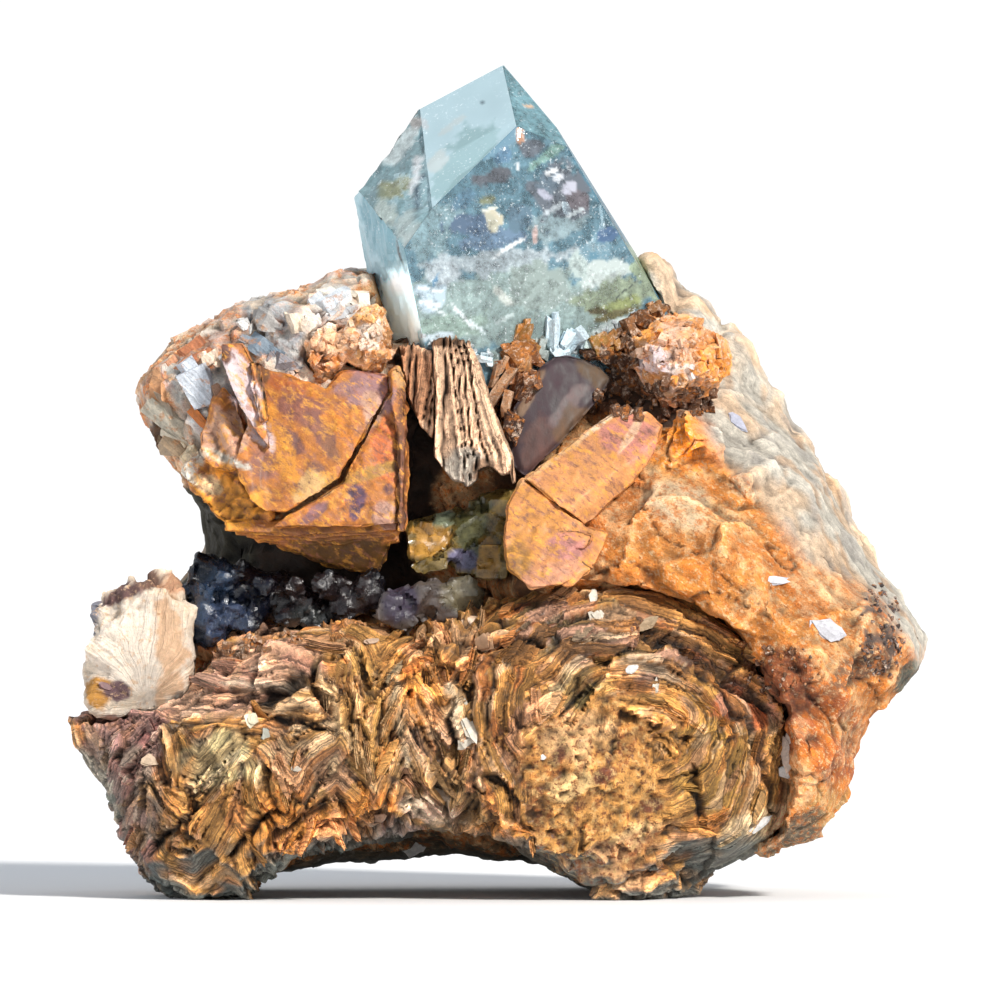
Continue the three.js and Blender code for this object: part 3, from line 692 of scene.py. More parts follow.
def feldspar_height(points):
    """How far the feldspar stands out or in, in mm."""
    ridge = ridge_share(points)
    left = eased(points[:, 0], -4, -9)
    run = streaked(points, -38, 2.2)
    swells = 0.5 * clouds(points, 8, 8, 2)
    grains = 0.18 * clouds(run, 1.3, 3, 2) + 0.12 * clouds(points, 0.8, 5, 2)
    crack = np.exp(-((clouds(run, 5, 9, 2) / 0.03) ** 2))
    groove = clouds(points / np.array([1, 1.6, 6]), 1.1, 10, 3)
    rubble = rubble_share(points) * (1.3 * blocks(points, 1.7, 12) - 0.6)
    pale = swells + 0.17 * groove + 0.1 * clouds(points, 0.9, 11, 2)
    stained = swells + (1 - 0.5 * left) * grains - 0.4 * crack + rubble
    return stained * (1 - ridge) + pale * ridge + 0.15


def behind_crystal(points):
    """The points, moved back behind the crystal's left side face where they would stand before it."""
    x, y, z = points.T
    face = 0.84 - 2.81 * (x + 12.14) - 0.59 * (z - 59.32)  # depth of that face at x and z
    right_of_edge = eased(x - np.interp(z, [55, 63], [-10.6, -12.9]), -0.3, 0.3)
    share = right_of_edge * eased(z, 54.4, 55.4) * eased(x, -7.0, -8.0)
    back = np.clip(face + 0.5, None, 2.5)
    return np.stack([x, np.where(y < back, y + share * (back - y), y), z], 1)


for piece in (slope, body):
    points = points_of(piece)
    ridge = ridge_share(points)
    left = eased(points[:, 0], -4, -9) * (1 - ridge)
    hewn(piece, 5.5, 9, 13, share=0.8 - 0.4 * ridge)
    hewn(piece, 2.6, 11, 14, share=0.2 + 0.5 * left, run=streaked(points, -38, 1.5))
    hewn(piece, 1.3, 12, 15, share=0.25 * (1 - ridge))
    push(piece, feldspar_height(points_of(piece)), smooth=4)
    hewn(piece, 3.4, 24, 17, share=0.8 * left, most=0.9)
    hewn(piece, 1.5, 22, 18, share=0.8 * left, most=0.5)
    move_to(piece, behind_crystal(points_of(piece)))
    crisp(piece)

# %% [markdown]
# The stains lie as on the real stone: a strong orange patch under the knob, cream where the grains
# are fresh, rust and grey debris at the right end, grey and white crystals on the left shoulder.
# Behind, where no water stood, it is pale cream and grey. A few dark patches are painted shade: in
# the recesses between the books and under the large book. Below, on the faces that look down, it is
# a grey-green, painted darker there as shade.

# %% Stain the feldspar and paint its shade
SLOPE_PATCHES = [
    (22, 30, 22, 16, -40, (236, 168, 104)), (20.0, 44.4, 5.6, 5.0, 10, (255, 162, 50, 1.35)),
    (19.8, 45.2, 3.6, 2.8, 10, (255, 142, 8, 1.35)), (20, 38, 7.0, 3.6, -30, (244, 196, 136)),
    (17, 39, 3.4, 2.4, -30, CREAM), (28, 37, 7, 3.6, -48, ORANGE), (25.5, 41.6, 4, 2.2, -40, CREAM),
    (33, 31, 6, 3.4, -45, (240, 188, 136)), (16, 33.5, 6, 3.4, -30, ORANGE),
    (30, 26.6, 6.5, 2.4, -35, CREAM), (26, 28, 6, 3, -30, ORANGE), (34.5, 23.5, 6, 4.0, -40, ORANGE),
    (24.8, 41.6, 1.6, 0.8, -40, RED_BROWN), (30.5, 17, 4.6, 4.2, 0, RUST),
    (27.4, 21, 3.4, 3.2, 30, RED_BROWN), (33, 10, 3, 6, 0, GOLD), (32.6, 13.5, 3, 2.6, 0, RUST),
    (37.8, 26.3, 1.9, 4.8, 12, (96, 80, 72)), (37.0, 27.2, 1.2, 0.9, -30, (176, 120, 78)),
    (38.4, 30.4, 1.0, 1.6, 20, (150, 156, 164)), (36.0, 23.0, 3.0, 1.4, 30, (132, 92, 64)),
    (41.4, 26, 1.7, 4, 12, PALE_CREAM), (41.2, 21.6, 2.2, 2, 40, MOSS_GREY), (28, 5.6, 5, 1.6, 15, CREAM),
    # The last three patches are dark: at 2, 38 and at -8, 46 painted shade in the recesses between the
    # books, at 12, 50 dark rubble under the crystal's foot, partly painted shade.
    (12, 50.0, 8, 3.0, -10, (74, 48, 30)), (2, 38, 3, 9, 0, (110, 74, 46)),
    (-8, 46, 2.4, 9, 0, (60, 42, 30)),
]
SHOULDER_TINTS = [COOL_GREY, WHITE, CREAM, PINK_TAN, (150, 152, 156), PALE_CREAM, (196, 140, 96)]
SHOULDER_PATCHES = [
    (-24, 50, 14, 11, 20, (244, 220, 194)), (-33.5, 49.8, 3.4, 4.6, -20, (220, 172, 134)),
    (-31.4, 52, 4.6, 2.0, 40, (186, 118, 80)), (-21, 60.2, 12, 1.6, 17, (212, 164, 132)),
    (-14.5, 61.6, 4, 1.2, 20, (206, 168, 148)), (-17, 59.6, 4, 1.5, 20, PALE_CREAM),
    (-22.6, 57.4, 3.6, 2.6, 10, COOL_GREY), (-19.4, 54.8, 3.6, 2.4, -20, (164, 166, 170)),
    (-29.5, 49, 3.2, 4.4, 20, COOL_GREY), (-16, 58.2, 3.8, 2.2, 20, WHITE),
    (-32.4, 46.8, 2, 3.2, 30, PALE_CREAM), (-33.8, 43.5, 1.8, 2.6, 40, PEACH),
    (-34.2, 45.2, 1.4, 1.8, 0, DARK_BROWN), (-28, 54.6, 3, 1.6, 35, PINK_TAN),
    # The last three patches are painted shade: dark brown and grey in the recess under the large book.
    (-27, 38, 5, 2.6, -30, (60, 44, 28)), (-18, 33, 13, 5, 0, (44, 30, 20)),
    (-30.4, 35, 3, 5, 20, (66, 62, 46)),
]
# Painted shade under the large book.
SHADE_UNDER_BOOK = [(-29.5, 34.5, 5.0, 6.0, 15, (58, 54, 42))]


def feldspar_colour(points, normals):
    """Stained in front, pale on the ridge and behind, with painted shade in the recesses and under the
    large book, and a grey-green below that is painted darker as shade.
    """
    x, y, z = points.T
    front = patched(points, tone(*PEACH), SLOPE_PATCHES + SHOULDER_PATCHES, 30, 0.4)
    lit = eased(front.mean(axis=1), 0.1, 0.25)
    drift = clouds(streaked(points, -38, 2.2), 2.4, 36, 4) * eased(x, 0, 6)
    front = toward(front, 0.65 * lit * eased(drift, 0.0, 0.55), tone(222, 128, 40))
    front = toward(front, 0.42 * lit * eased(drift, -0.1, -0.6), tone(246, 206, 154))
    shoulder = 0.4 * lit * eased(x, -12, -14) * eased(z, 41, 43)
    front = toward(front, shoulder, lots_of(points, 1.5, 18, SHOULDER_TINTS))
    back = 0.7 * tone(*PALE_CREAM) + 0.1 * tone(*COOL_GREY)
    back = toward(back, 0.55 * eased(clouds(points, 7, 33, 3), 0.05, 0.5), tone(222, 176, 128))
    grey = eased(clouds(points / [1, 1, 5], 1.5, 34, 2), 0.1, 0.6)
    back = toward(back, 0.5 * grey, tone(146, 140, 136))
    amber = eased(clouds(points / [1, 1, 4], 1.8, 35, 2), 0.25, 0.7)
    back = toward(back, 0.45 * amber, tone(206, 150, 92))
    colour = toward(front, ridge_share(points), back)
    # Painted shade under the large book, which fades out towards the back.
    shaded = patched(points, colour, SHADE_UNDER_BOOK, 31, 0.3)
    colour = toward(colour, eased(y + 3.4 * clouds(points, 6, 32, 3), 13, 5), shaded)
    # Faces that look down, low on the stone, get a grey-green that is painted darker, as shade.
    under = eased(normals[:, 2], -0.35, -0.75) * eased(z, 22, 8)
    return toward(colour, 0.85 * under, 0.7 * tone(*MOSS_GREY))


for piece, finish in ((slope, FELDSPAR), (body, PALE_FELDSPAR)):
    points = points_of(piece)
    paint = feldspar_colour(points, blurred(piece, normals_of(piece), 6))
    dress(piece, finish, paint, 14, 0.22)
    grey = eased(paint[:, 0] / np.maximum(paint[:, 2], 1e-3), 1.9, 1.4)
    dark = eased(paint.mean(axis=1), 0.16, 0.08)
    remember(piece, "plain", np.max([ridge_share(points), dark, 0.8 * grey], axis=0))
print("feldspar carved and stained")

# %% [markdown]
# ## The mica mass
#
# The lower front is a mass of mica books that grew in all directions. What shows is the broken
# edges of their leaves: round a centre on the right they run in rings, like a rose, and on the left
# in upright plumes. So each place gets two coordinates, one across the leaves and one along them.
# Shards in those coordinates are long thin packets of leaves, and each packet is raised and tilted.

# %% Across and along the leaves
ROSE = (14.6, 14.6)  # the middle of the rings, x and z
ROSE_LEFT = 4.6  # the x where the rings end and the plumes start
PLUME = 8.4  # width of one plume
HAIR = (1.2, 2.6, 8.5, 23.5)  # the upright hairy bundle: middle and half width, lowest, highest
HEART = (9.2, 10.2, 7.6, 9.2)  # the granular heart of the rose: middle and half sizes
SPLIT = 7.5  # the mass is split into lumps this big, each turned a little its own way


def heart_share(points):
    reach = np.hypot((points[:, 0] - HEART[0]) / HEART[2], (points[:, 2] - HEART[1]) / HEART[3])
    return eased(reach + 0.3 * clouds(points, 3, 41, 2), 1.1, 0.8)


def leaf_grid(points):
    """Millimetres across the leaves and along them, for each point of the mica mass."""
    x = points[:, 0] + 1.5 * clouds(points, 9, 42, 3)
    z = points[:, 2] + 1.5 * clouds(points, 9, 43, 3)
    ring = np.hypot(x - ROSE[0], 1.1 * (z - ROSE[1]))
    round_it = 9 * np.arctan2(z - ROSE[1], x - ROSE[0])
    from_spine = (x - ROSE_LEFT) % PLUME - PLUME / 2
    across = np.where(x > ROSE_LEFT - 6.5, ring, z * 0.75 + 1.15 * np.abs(from_spine))
    along = np.where(x > ROSE_LEFT - 6.5, round_it, 1.1 * np.abs(from_spine) - 0.6 * z + 40)
    flat = (x < -17) & (z > 17.5)
    across = np.where(flat, z + 0.12 * x, across)
    along = np.where(flat, x + 70, along)
    hair = (np.abs(x - HAIR[0]) < HAIR[1]) & (z > HAIR[2]) & (z < HAIR[3])
    across = np.where(hair, 1.3 * x + 0.15 * z, across)
    along = np.where(hair, z, along)
    _, lump, _ = shards(points, SPLIT, 48)
    turn = np.where(flat | hair, 0.3, 0.85) * (lump[:, 0] - 0.5)
    c, s = np.cos(turn), np.sin(turn)
    return across * c + along * s + 5 * lump[:, 1] + 0.15 * points[:, 1], along * c - across * s


def leaf_height(points):
    """How far the packets of leaves stand out or in, in mm."""
    across, along = leaf_grid(points)
    height = np.zeros(len(points))
    for size, rise, slope, seed in ((3.2, 0.95, 0.36, 49), (1.3, 0.42, 0.42, 44), (0.62, 0.36, 0.5, 45)):
        packets = np.stack([across, along / 5.4, 0.25 * points[:, 1]], 1)
        offset, lot, to_next = shards(packets, size, seed)
        height += rise * (lot[:, 0] - 0.5) + slope * offset[:, 0] * np.where(lot[:, 1] > 0.4, 1, -0.6)
        height -= 0.3 * rise * eased(to_next, 0.22, 0.0)
    _, lump, _ = shards(points, SPLIT, 48)
    height *= 0.4 + 0.6 * eased(clouds(points, 5, 54, 2), 0.35, -0.1)  # here and there a calm face
    height += 0.9 * (lump[:, 2] - 0.5)
    heart = heart_share(points)
    grains = 0.4 * clouds(points, 4, 39, 2) + 0.3 * clouds(points, 1.3, 46, 2)
    height = height * (1 - heart) + (grains + 0.18 * clouds(points, 0.7, 47, 2)) * heart
    for rise, _, near in clefts_and_spines(points):
        height += rise * near
    return height


CLEFTS_AND_SPINES = [  # x and z of both ends, half width, how far it stands out, colour
    (-23.9, 18.8, -17.6, 22.9, 0.75, -2.2, (24, 16, 12)),
    (-22.8, 18.1, -16.2, 16.8, 0.30, -0.9, (50, 34, 22)),
    (-21.5, 20.6, -28.5, 19.2, 0.30, -0.8, (70, 48, 34)),
    (-34.2, 4.6, -30.4, 8.8, 0.45, -1.2, (40, 28, 18)), (-26.2, 4.4, -22.0, 8.9, 0.45, -1.3, (36, 24, 16)),
    (-22.2, 6.2, -16.6, 10.0, 0.50, -1.4, (36, 24, 16)), (-12.6, 8.8, -8.8, 7.6, 0.35, -0.9, (50, 34, 24)),
    (-4.6, 19.6, -4.0, 12.8, 0.35, -1.1, (46, 30, 20)), (-6.8, 24.6, 4.2, 25.3, 0.40, -1.3, (36, 24, 16)),
    (14.0, 26.8, 26.4, 19.0, 0.60, -1.7, (34, 22, 16)), (18.5, 23.2, 24.5, 17.6, 0.35, -1.0, (60, 36, 22)),
    (24.8, 17.8, 27.2, 8.6, 0.45, -1.2, (50, 32, 20)), (19.0, 13.0, 20.6, 6.6, 0.35, -0.9, (70, 46, 26)),
    (-18.0, 23.3, -11.9, 10.8, 0.50, 0.8, (236, 196, 144)),
    (-10.2, 23.0, -9.0, 13.2, 0.55, 0.6, (206, 184, 146)),
    (-27.5, 21.4, -18.4, 21.0, 0.50, 0.6, (232, 206, 178)),
    (-4.6, 21.6, -3.6, 15.8, 0.70, 0.7, (240, 214, 176)),
    (-33.0, 8.6, -29.4, 14.2, 0.60, 0.5, (196, 134, 66)),
]


def clefts_and_spines(points):
    """Each with how near every point on the front is to it: 1 on its line, 0 far away."""
    shaky = points[:, [0, 2]] + 0.5 * np.stack([clouds(points, 2, seed, 3) for seed in (40, 52)], 1)
    front = points[:, 1] < -4
    for x0, z0, x1, z1, half, rise, tint in CLEFTS_AND_SPINES:
        side = np.array([x1 - x0, z1 - z0])
        share = np.clip(((shaky - [x0, z0]) @ side) / (side @ side), 0, 1)
        away = np.linalg.norm(shaky - [x0, z0] - share[:, None] * side, axis=1)
        width = half * (0.35 + 1.3 * np.sqrt(share * (1 - share)))
        yield rise, tone(*tint), front * np.exp(-((away / width) ** 2))


mass = even_skin(bmesh_of("mica_mass"), "leafy_mass", 0.3)
heart = heart_share(points_of(mass))
hewn(mass, 4.0, 10, 37, share=heart)
hewn(mass, 1.7, 20, 38, share=heart)
mass_across, _ = leaf_grid(points_of(mass))
push(mass, leaf_height(points_of(mass)) + 0.1, smooth=5)
crisp(mass, 50)
print("mica mass quads:", len(mass.data.polygons))

# %% [markdown]
# Its colour is golden brown, with rust, gold and olive patches. The left end is grey and purple,
# the heart of the rose is orange like the slope, and the underside is grey-green. The clefts are
# painted dark brown to near black, as the shade deep in them.

# %% Stain the mica mass and paint shade in its clefts
MASS_PATCHES = [
    (-38, 12, 5, 11, 8, PURPLE_GREY), (-39.5, 10, 2.4, 5, 8, (110, 118, 116)), (-36, 18.5, 5, 3, 10, MAUVE),
    (-25, 22, 8, 4, 15, PINK_TAN), (-24, 10, 8, 7, 20, GOLD_BROWN), (-27, 14.5, 4, 3, 0, (190, 172, 128)),
    (-16, 9, 8, 4, 20, ORANGE), (-18, 16, 5, 6, 30, (150, 112, 70)), (-11, 16, 3, 8, 20, GOLD),
    (-8, 20, 3, 5, 0, ORANGE), (-5, 12, 5, 6, 10, (158, 118, 80)), (-9.5, 6.6, 2.4, 1.8, 0, PURPLE_GREY),
    (-6.4, 9.0, 3.0, 1.6, -10, (222, 196, 170)), (-1, 24, 7, 3, -10, (186, 126, 70)),
    (2.4, 15, 4.4, 11, 8, (146, 96, 46)), (0, 5.6, 6, 2, 0, ORANGE), (12, 24.5, 11, 4, -15, (86, 58, 38)),
    (14, 27, 6, 1.2, -15, (150, 98, 54)), (8, 20, 4, 3, 0, (156, 132, 84)),
    (14, 12, 10, 10, 0, (214, 150, 76)), (8.5, 15.5, 3, 3, 0, (244, 190, 130)),
    (12, 8, 6, 6, 0, (236, 170, 88)), (7, 11.5, 2.2, 1.4, 20, (248, 204, 138)),
    (13.4, 5.6, 3.4, 1.8, 10, (246, 200, 138)), (10.4, 12.4, 1.2, 0.7, 30, (120, 62, 36)),
    (6.0, 14.2, 1.0, 0.6, 60, (130, 72, 44)), (15.0, 9.4, 1.0, 0.6, 10, (128, 70, 40)),
    (13, 3, 6, 3, 0, PEACH), (22, 15, 4, 8, 0, (158, 112, 50)), (25, 20, 3, 4, -30, RED_BROWN),
    (18, 4, 5, 3, 20, (176, 122, 66)), (25, 7, 4, 2, 20, (240, 206, 160)),
]
LEAF_TINTS = [CREAM, GOLD, RUST, PINK_TAN, OLIVE, GOLD_BROWN]


def mass_colour(points, normals):
    """Patches, then a tint and a lightness for each packet of leaves, clefts painted dark as shade,
    spines in their own colours, and a grey-green underside.
    """
    colour = patched(points, tone(*GOLD_BROWN), MASS_PATCHES, 50, 0.5)
    leaf_places = np.stack([*leaf_grid(points), points[:, 1]], 1) / [1, 3.6, 3]
    heart = heart_share(points)
    colour = toward(colour, 0.3 * (1 - heart), lots_of(leaf_places, 1.1, 53, LEAF_TINTS))
    _, lot, _ = shards(leaf_places, 0.9, 51)
    colour = colour * ((1.0 + 1.6 * lot[:, 0]) * (1 - heart) + 1.25 * heart)[:, None]
    # Clefts are painted dark, as the shade in them; spines get their own colours.
    for _, tint, near in clefts_and_spines(points):
        colour = toward(colour, 0.85 * near, tint)
    under = eased(normals[:, 2], -0.35, -0.7) * eased(points[:, 2], 9, 5)
    return toward(colour, 0.9 * under, tone(112, 128, 126))


dress(mass, LEAFY_MICA, mass_colour(points_of(mass), blurred(mass, normals_of(mass), 8)), 12, 0.28)
remember(mass, "layer", mass_across)
remember(mass, "grainy", heart_share(points_of(mass)))
remember(mass, "plain", 1 - heart_share(points_of(mass)))

# %% [markdown]
# ## Loose leaves
#
# A carved skin can't overhang, and torn mica has leaves that stick out and cast small hard shadows.
# So a few leaf shapes are made once with operators, and copies are set on the surface here and
# there, in packets. Each packet is turned to the direction of the leaves around it.

# %% Leaf shapes
DICE = np.random.default_rng(7)


def thicken(mesh, way):
    """Extrudes the flat faces into a closed plate."""
    lifted = bmesh.ops.extrude_face_region(mesh, geom=mesh.faces[:])
    top = [part for part in lifted["geom"] if isinstance(part, bmesh.types.BMVert)]
    bmesh.ops.translate(mesh, vec=way, verts=top)
    bmesh.ops.recalc_face_normals(mesh, faces=mesh.faces)


def torn_leaf(corners):
    """A flat torn leaf about 1 mm across and 0.07 mm thick, lying in XY."""
    mesh = bmesh.new()
    bmesh.ops.create_circle(mesh, cap_ends=True, radius=0.5, segments=corners)
    for corner in mesh.verts:
        corner.co *= DICE.uniform(0.62, 1.12)
    thicken(mesh, (0, 0, 0.07))
    for corner in mesh.verts:
        corner.co.z += 0.22 * corner.co.x * corner.co.x - 0.15 * corner.co.y * corner.co.y
    return as_data(mesh, "leaf_shape")


def broken_grain(cuts):
    """A grain about 1 mm across with flat broken faces."""
    mesh = bmesh.new()
    bmesh.ops.create_cube(mesh, size=0.84)
    for _ in range(cuts):
        way = Vector(DICE.normal(size=3)).normalized()
        slice_off(mesh, way * DICE.uniform(0.24, 0.42), way)
    bmesh.ops.dissolve_limit(mesh, angle_limit=0.02, verts=mesh.verts, edges=mesh.edges)
    bmesh.ops.recalc_face_normals(mesh, faces=mesh.faces)
    return as_data(mesh, "grain_shape")


LEAVES = [torn_leaf(corners) for corners in (6, 7, 7, 8, 8, 9, 9, 10)]
GRAINS = [broken_grain(cuts) for cuts in (3, 4, 5, 5, 6, 7)]
print("leaf and grain shapes:", len(LEAVES), len(GRAINS))


# %% Setting shapes on a surface
def front_finder(*pieces):
    """A function that finds the first surface behind a place on the drawing: point and normal."""
    trees = []
    for piece in pieces:
        mesh = bmesh.new()
        mesh.from_mesh(piece.data)
        trees.append(BVHTree.FromBMesh(mesh))
        mesh.free()

    def find(x, z):
        start = Vector(in_scene([x, -80, z]))
        hits = [tree.ray_cast(start, Vector((0, 1, 0)), 1.0) for tree in trees]
        hits = [hit for hit in hits if hit[0] is not None]
        if not hits:
            return None
        point, normal, _, _ = min(hits, key=lambda hit: hit[3])
        return on_drawing(point), np.array(normal)

    return find


def strewn(name, places):
    """Copies of small shapes as one mesh, and which copy each vertex belongs to.

    A place is a shape, three axes in mm and a point.
    """
    mesh = bmesh.new()
    for shape, axes, point in places:
        matrix = np.identity(4)
        matrix[:3, :3] = np.asarray(axes).T * MM
        matrix[:3, 3] = in_scene(point)
        matrix = Matrix(matrix.tolist())
        copy = shape.copy()
        copy.transform(matrix)
        if matrix.determinant() < 0:
            copy.flip_normals()
        mesh.from_mesh(copy)
        bpy.data.meshes.remove(copy)
    owner = np.repeat(np.arange(len(places)), [len(shape.vertices) for shape, _, _ in places])
    return as_piece(mesh, name), owner


def dress_strewn(piece, owner, finish, colour_of, spread, seed):
    """Colours each copy by where it lies, each a little lighter or darker than its neighbours."""
    middles = group_means(owner, points_of(piece))
    lots = np.random.default_rng(seed).uniform(1 - spread, 1 + spread, len(middles))
    dress(piece, finish, (colour_of(middles) * lots[:, None])[owner])
    remember(piece, "layer", points_of(piece) @ [0.3, 0.4, 0.9])


def any_of(shapes):
    return shapes[DICE.integers(len(shapes))]


def tumbled_grain(sizes):
    """A grain and three axes of these sizes, turned at random, as rows."""
    grain, way = any_of(GRAINS), Vector(DICE.normal(size=3)).normalized()
    turned = np.array(Matrix.Rotation(DICE.uniform(0, 6.28), 3, way))
    return grain, turned * sizes[:, None]


# %% Leaves on the mica mass
front = front_finder(mass, slope)


def leaf_run(x, z):
    """Unit directions across and along the leaves at a place on the front of the mica mass."""
    step = 0.15
    around = np.array([[x, -15, z], [x + step, -15, z], [x, -15, z + step]])
    across, _ = leaf_grid(around)
    slant = unit([across[1] - across[0], 0, across[2] - across[0]])
    return slant, unit([-slant[2], 0, slant[0]])


def leaf_packets(count, area, size, spread=0.5):
    """Packets of leaves on an area of the mica mass, given as x and z ranges."""
    places = []
    (x0, x1), (z0, z1) = area
    for _ in range(count):
        x, z = DICE.uniform(x0, x1), DICE.uniform(z0, z1)
        hit = front(x, z)
        if hit is None or hit[0][1] > -6:
            continue
        point, normal = hit
        if heart_share(point[None])[0] > 0.5:
            continue
        slant, run = leaf_run(x, z)
        lean = DICE.uniform(0.3, 1.4) * (1 if DICE.random() > 0.3 else -1)
        out = unit(unit([0, -1, 0.1]) + 0.4 * normal + lean * slant)
        run = unit(run + DICE.normal(0, 0.08, 3))
        flat = unit(np.cross(run, out))
        out = unit(np.cross(flat, run))
        long, tall = size * DICE.uniform(0.6, 1.5), size * DICE.uniform(0.3, 0.6)
        for level in range(DICE.integers(3, 7)):
            shape = any_of(LEAVES)
            shift = run * DICE.normal(0, 0.25) + out * (DICE.normal(0, 0.08) - 0.3 * tall)
            spot = point + shift + flat * level * 0.17
            places.append((shape, (run * long, out * tall, flat * DICE.uniform(0.5, 1.2)), spot))
    return places


leaf_places = leaf_packets(110, ((-37, 26), (5, 26)), 3.2)
leaf_places += leaf_packets(45, ((-12, 10), (22, 30)), 2.4)
leaves, leaf_owner = strewn("loose_mica_leaves", leaf_places)


def leaf_colour(points):
    """Like the mass behind, but a little lighter."""
    return 1.15 * mass_colour(points, np.tile([0.0, -1.0, 0.0], (len(points), 1)))


dress_strewn(leaves, leaf_owner, LEAFY_MICA, leaf_colour, 0.3, 60)
remember(leaves, "plain", np.ones(len(leaf_owner)))
print("loose leaves:", len(leaf_places), "faces:", len(leaves.data.polygons))

# %% [markdown]
# ## Books of mica
#
# A book is a stack of leaves, so each is made as what it is: flat plates, cut to a torn outline,
# bent a little and laid over each other. A plate starts as one face on the outline, is extruded to
# its thickness and gets an even skin. Then its face is bent and pitted, and its rim is frayed
# level by level, which draws the thin leaves along the broken edge.

# %% A plate of leaves
def plate(name, outline, thick, voxel=0.22):
    """A flat plate on an outline of x and z. Its front face is at y = 0."""
    mesh = bmesh.new()
    mesh.faces.new([mesh.verts.new(in_scene([x, 0, z])) for x, z in outline])
    thicken(mesh, (0, thick * MM, 0))
    return even_skin(mesh, name, voxel)


def rim_distance(points, outline):
    """How far each point lies from the outline, seen from the front, in mm."""
    here = points[:, [0, 2]]
    nearest = np.full(len(here), 99.0)
    corners = np.asarray(outline, float)
    for a, b in zip(corners, np.roll(corners, -1, axis=0)):
        side = b - a
        share = np.clip(((here - a) @ side) / (side @ side), 0, 1)[:, None]
        nearest = np.minimum(nearest, np.linalg.norm(here - a - share * side, axis=1))
    return nearest


def work_plate(piece, outline, face, fray=0.35, level=0.34, pits=0.08, seed=0, round_off=0.25):
    """Frays the rim leaf by leaf, pits the face, and bends the plate to y = face(x, z)."""
    points = points_of(piece)
    normals = normals_of(piece)
    across = points[:, 1].copy()
    side = np.stack([normals[:, 0], np.zeros(len(points)), normals[:, 2]], 1)
    steep = eased(np.linalg.norm(side, axis=1), 0.35, 0.8)
    leaf = np.floor(across / level)
    shaky = np.stack([points[:, 0] / 2.2, 7.3 * leaf, points[:, 2] / 2.2], 1)
    torn = fray * (clouds(shaky, 1, seed, 3) - 0.35)
    points += side * (steep * torn)[:, None]
    rim = rim_distance(points, outline)
    front_side = (normals[:, 1] < -0.3).astype(float)
    flat_points = np.stack([points[:, 0], 0 * across, points[:, 2]], 1)
    pitted = pits * clouds(flat_points, 0.8, seed + 1, 3) + chipped(flat_points, 2.4, 1.2 * pits, seed + 2)
    points[:, 1] += front_side * (pitted + round_off * eased(rim, 0.7, 0.0))
    points[:, 1] += face(points[:, 0], points[:, 2])
    move_to(piece, points)
    remember(piece, "layer", across * 1.8 + 0.25 * points[:, 0])
    return piece


def one_piece(name, pieces):
    """Several objects joined as one."""
    mesh = bmesh.new()
    for piece in pieces:
        mesh.from_mesh(piece.data)
        bpy.data.objects.remove(piece)
    whole = as_piece(mesh, name)
    whole.data.shade_smooth()
    return whole


# %% [markdown]
# The large rusty book is the showpiece of the left side. A broad orange leaf lies in front; its
# left edge curls towards the viewer. An open crack parts it from a redder leaf at the right, which
# ends at a thick dark edge. Thin leaves run out below, over a shaded golden wedge, and on the left
# stand a pale sliver, a pinkish fold and bright orange crumbs.

# %% The large book
TOP_LEAF = [
    (-24.4, 52.9), (-22.6, 52.3), (-20.1, 51.4), (-17.0, 50.3), (-15.5, 52.1), (-13.7, 52.3), (-10.9, 51.6),
    (-10.8, 50.0), (-12.0, 48.0), (-13.2, 45.8), (-15.7, 41.6), (-18.3, 39.8), (-20.8, 38.3), (-22.6, 38.1),
    (-24.3, 39.3), (-25.9, 42.9), (-24.6, 46.6), (-24.9, 50.0),
]
FACE_LEAF = [
    (-10.1, 50.6), (-9.7, 48.0), (-9.5, 44.0), (-9.7, 37.0), (-14.0, 36.7), (-18.3, 36.7), (-22.2, 36.6),
    (-20.6, 37.8), (-18.3, 39.1), (-15.4, 41.0), (-14.1, 43.4), (-12.5, 46.3), (-11.4, 48.4),
]
EDGE_SLAB = [
    (-10.8, 52.0), (-9.9, 52.5), (-9.3, 51.4), (-8.9, 46.0), (-9.2, 36.2), (-9.9, 36.3), (-9.9, 44.0),
]
STRIPED_EDGE = [(-24.4, 52.8), (-23.3, 52.6), (-22.9, 49.4), (-22.6, 47.2), (-23.4, 46.8), (-24.0, 49.0)]
WEDGE = [(-22.6, 36.4), (-21.7, 34.8), (-17.4, 33.0), (-12.0, 31.9), (-10.6, 35.0), (-10.3, 37.0)]
SLIVER = [
    (-27.3, 54.7), (-26.9, 52.0), (-25.4, 48.4), (-22.4, 44.2), (-23.2, 48.6), (-23.9, 52.4), (-25.2, 54.8),
]
FOLD = [
    (-29.3, 45.6), (-29.4, 43.9), (-28.0, 42.5), (-26.4, 41.9), (-24.4, 43.2), (-24.8, 45.8), (-25.8, 49.0),
    (-27.2, 50.6), (-28.6, 48.6),
]
CRUMBS = [
    (-31.1, 43.2), (-31.2, 41.8), (-29.6, 39.6), (-27.6, 37.6), (-26.0, 36.5), (-23.0, 36.4), (-21.6, 38.0),
    (-24.4, 41.5), (-27.5, 44.6),
]


def top_leaf_face(x, z):
    """It bulges a little, and its left edge curls forward."""
    curl = 1.1 * eased(x + 0.16 * (z - 46), -23.2, -25.6)
    return -14.9 + 0.34 * (z - 44) - 0.02 * (x + 18) + 0.012 * (x + 18) ** 2 + 0.008 * (z - 45) ** 2 - curl


def book_part(name, outline, thick, face, seed, **how):
    return work_plate(plate(name, outline, thick), outline, face, seed=seed, **how)


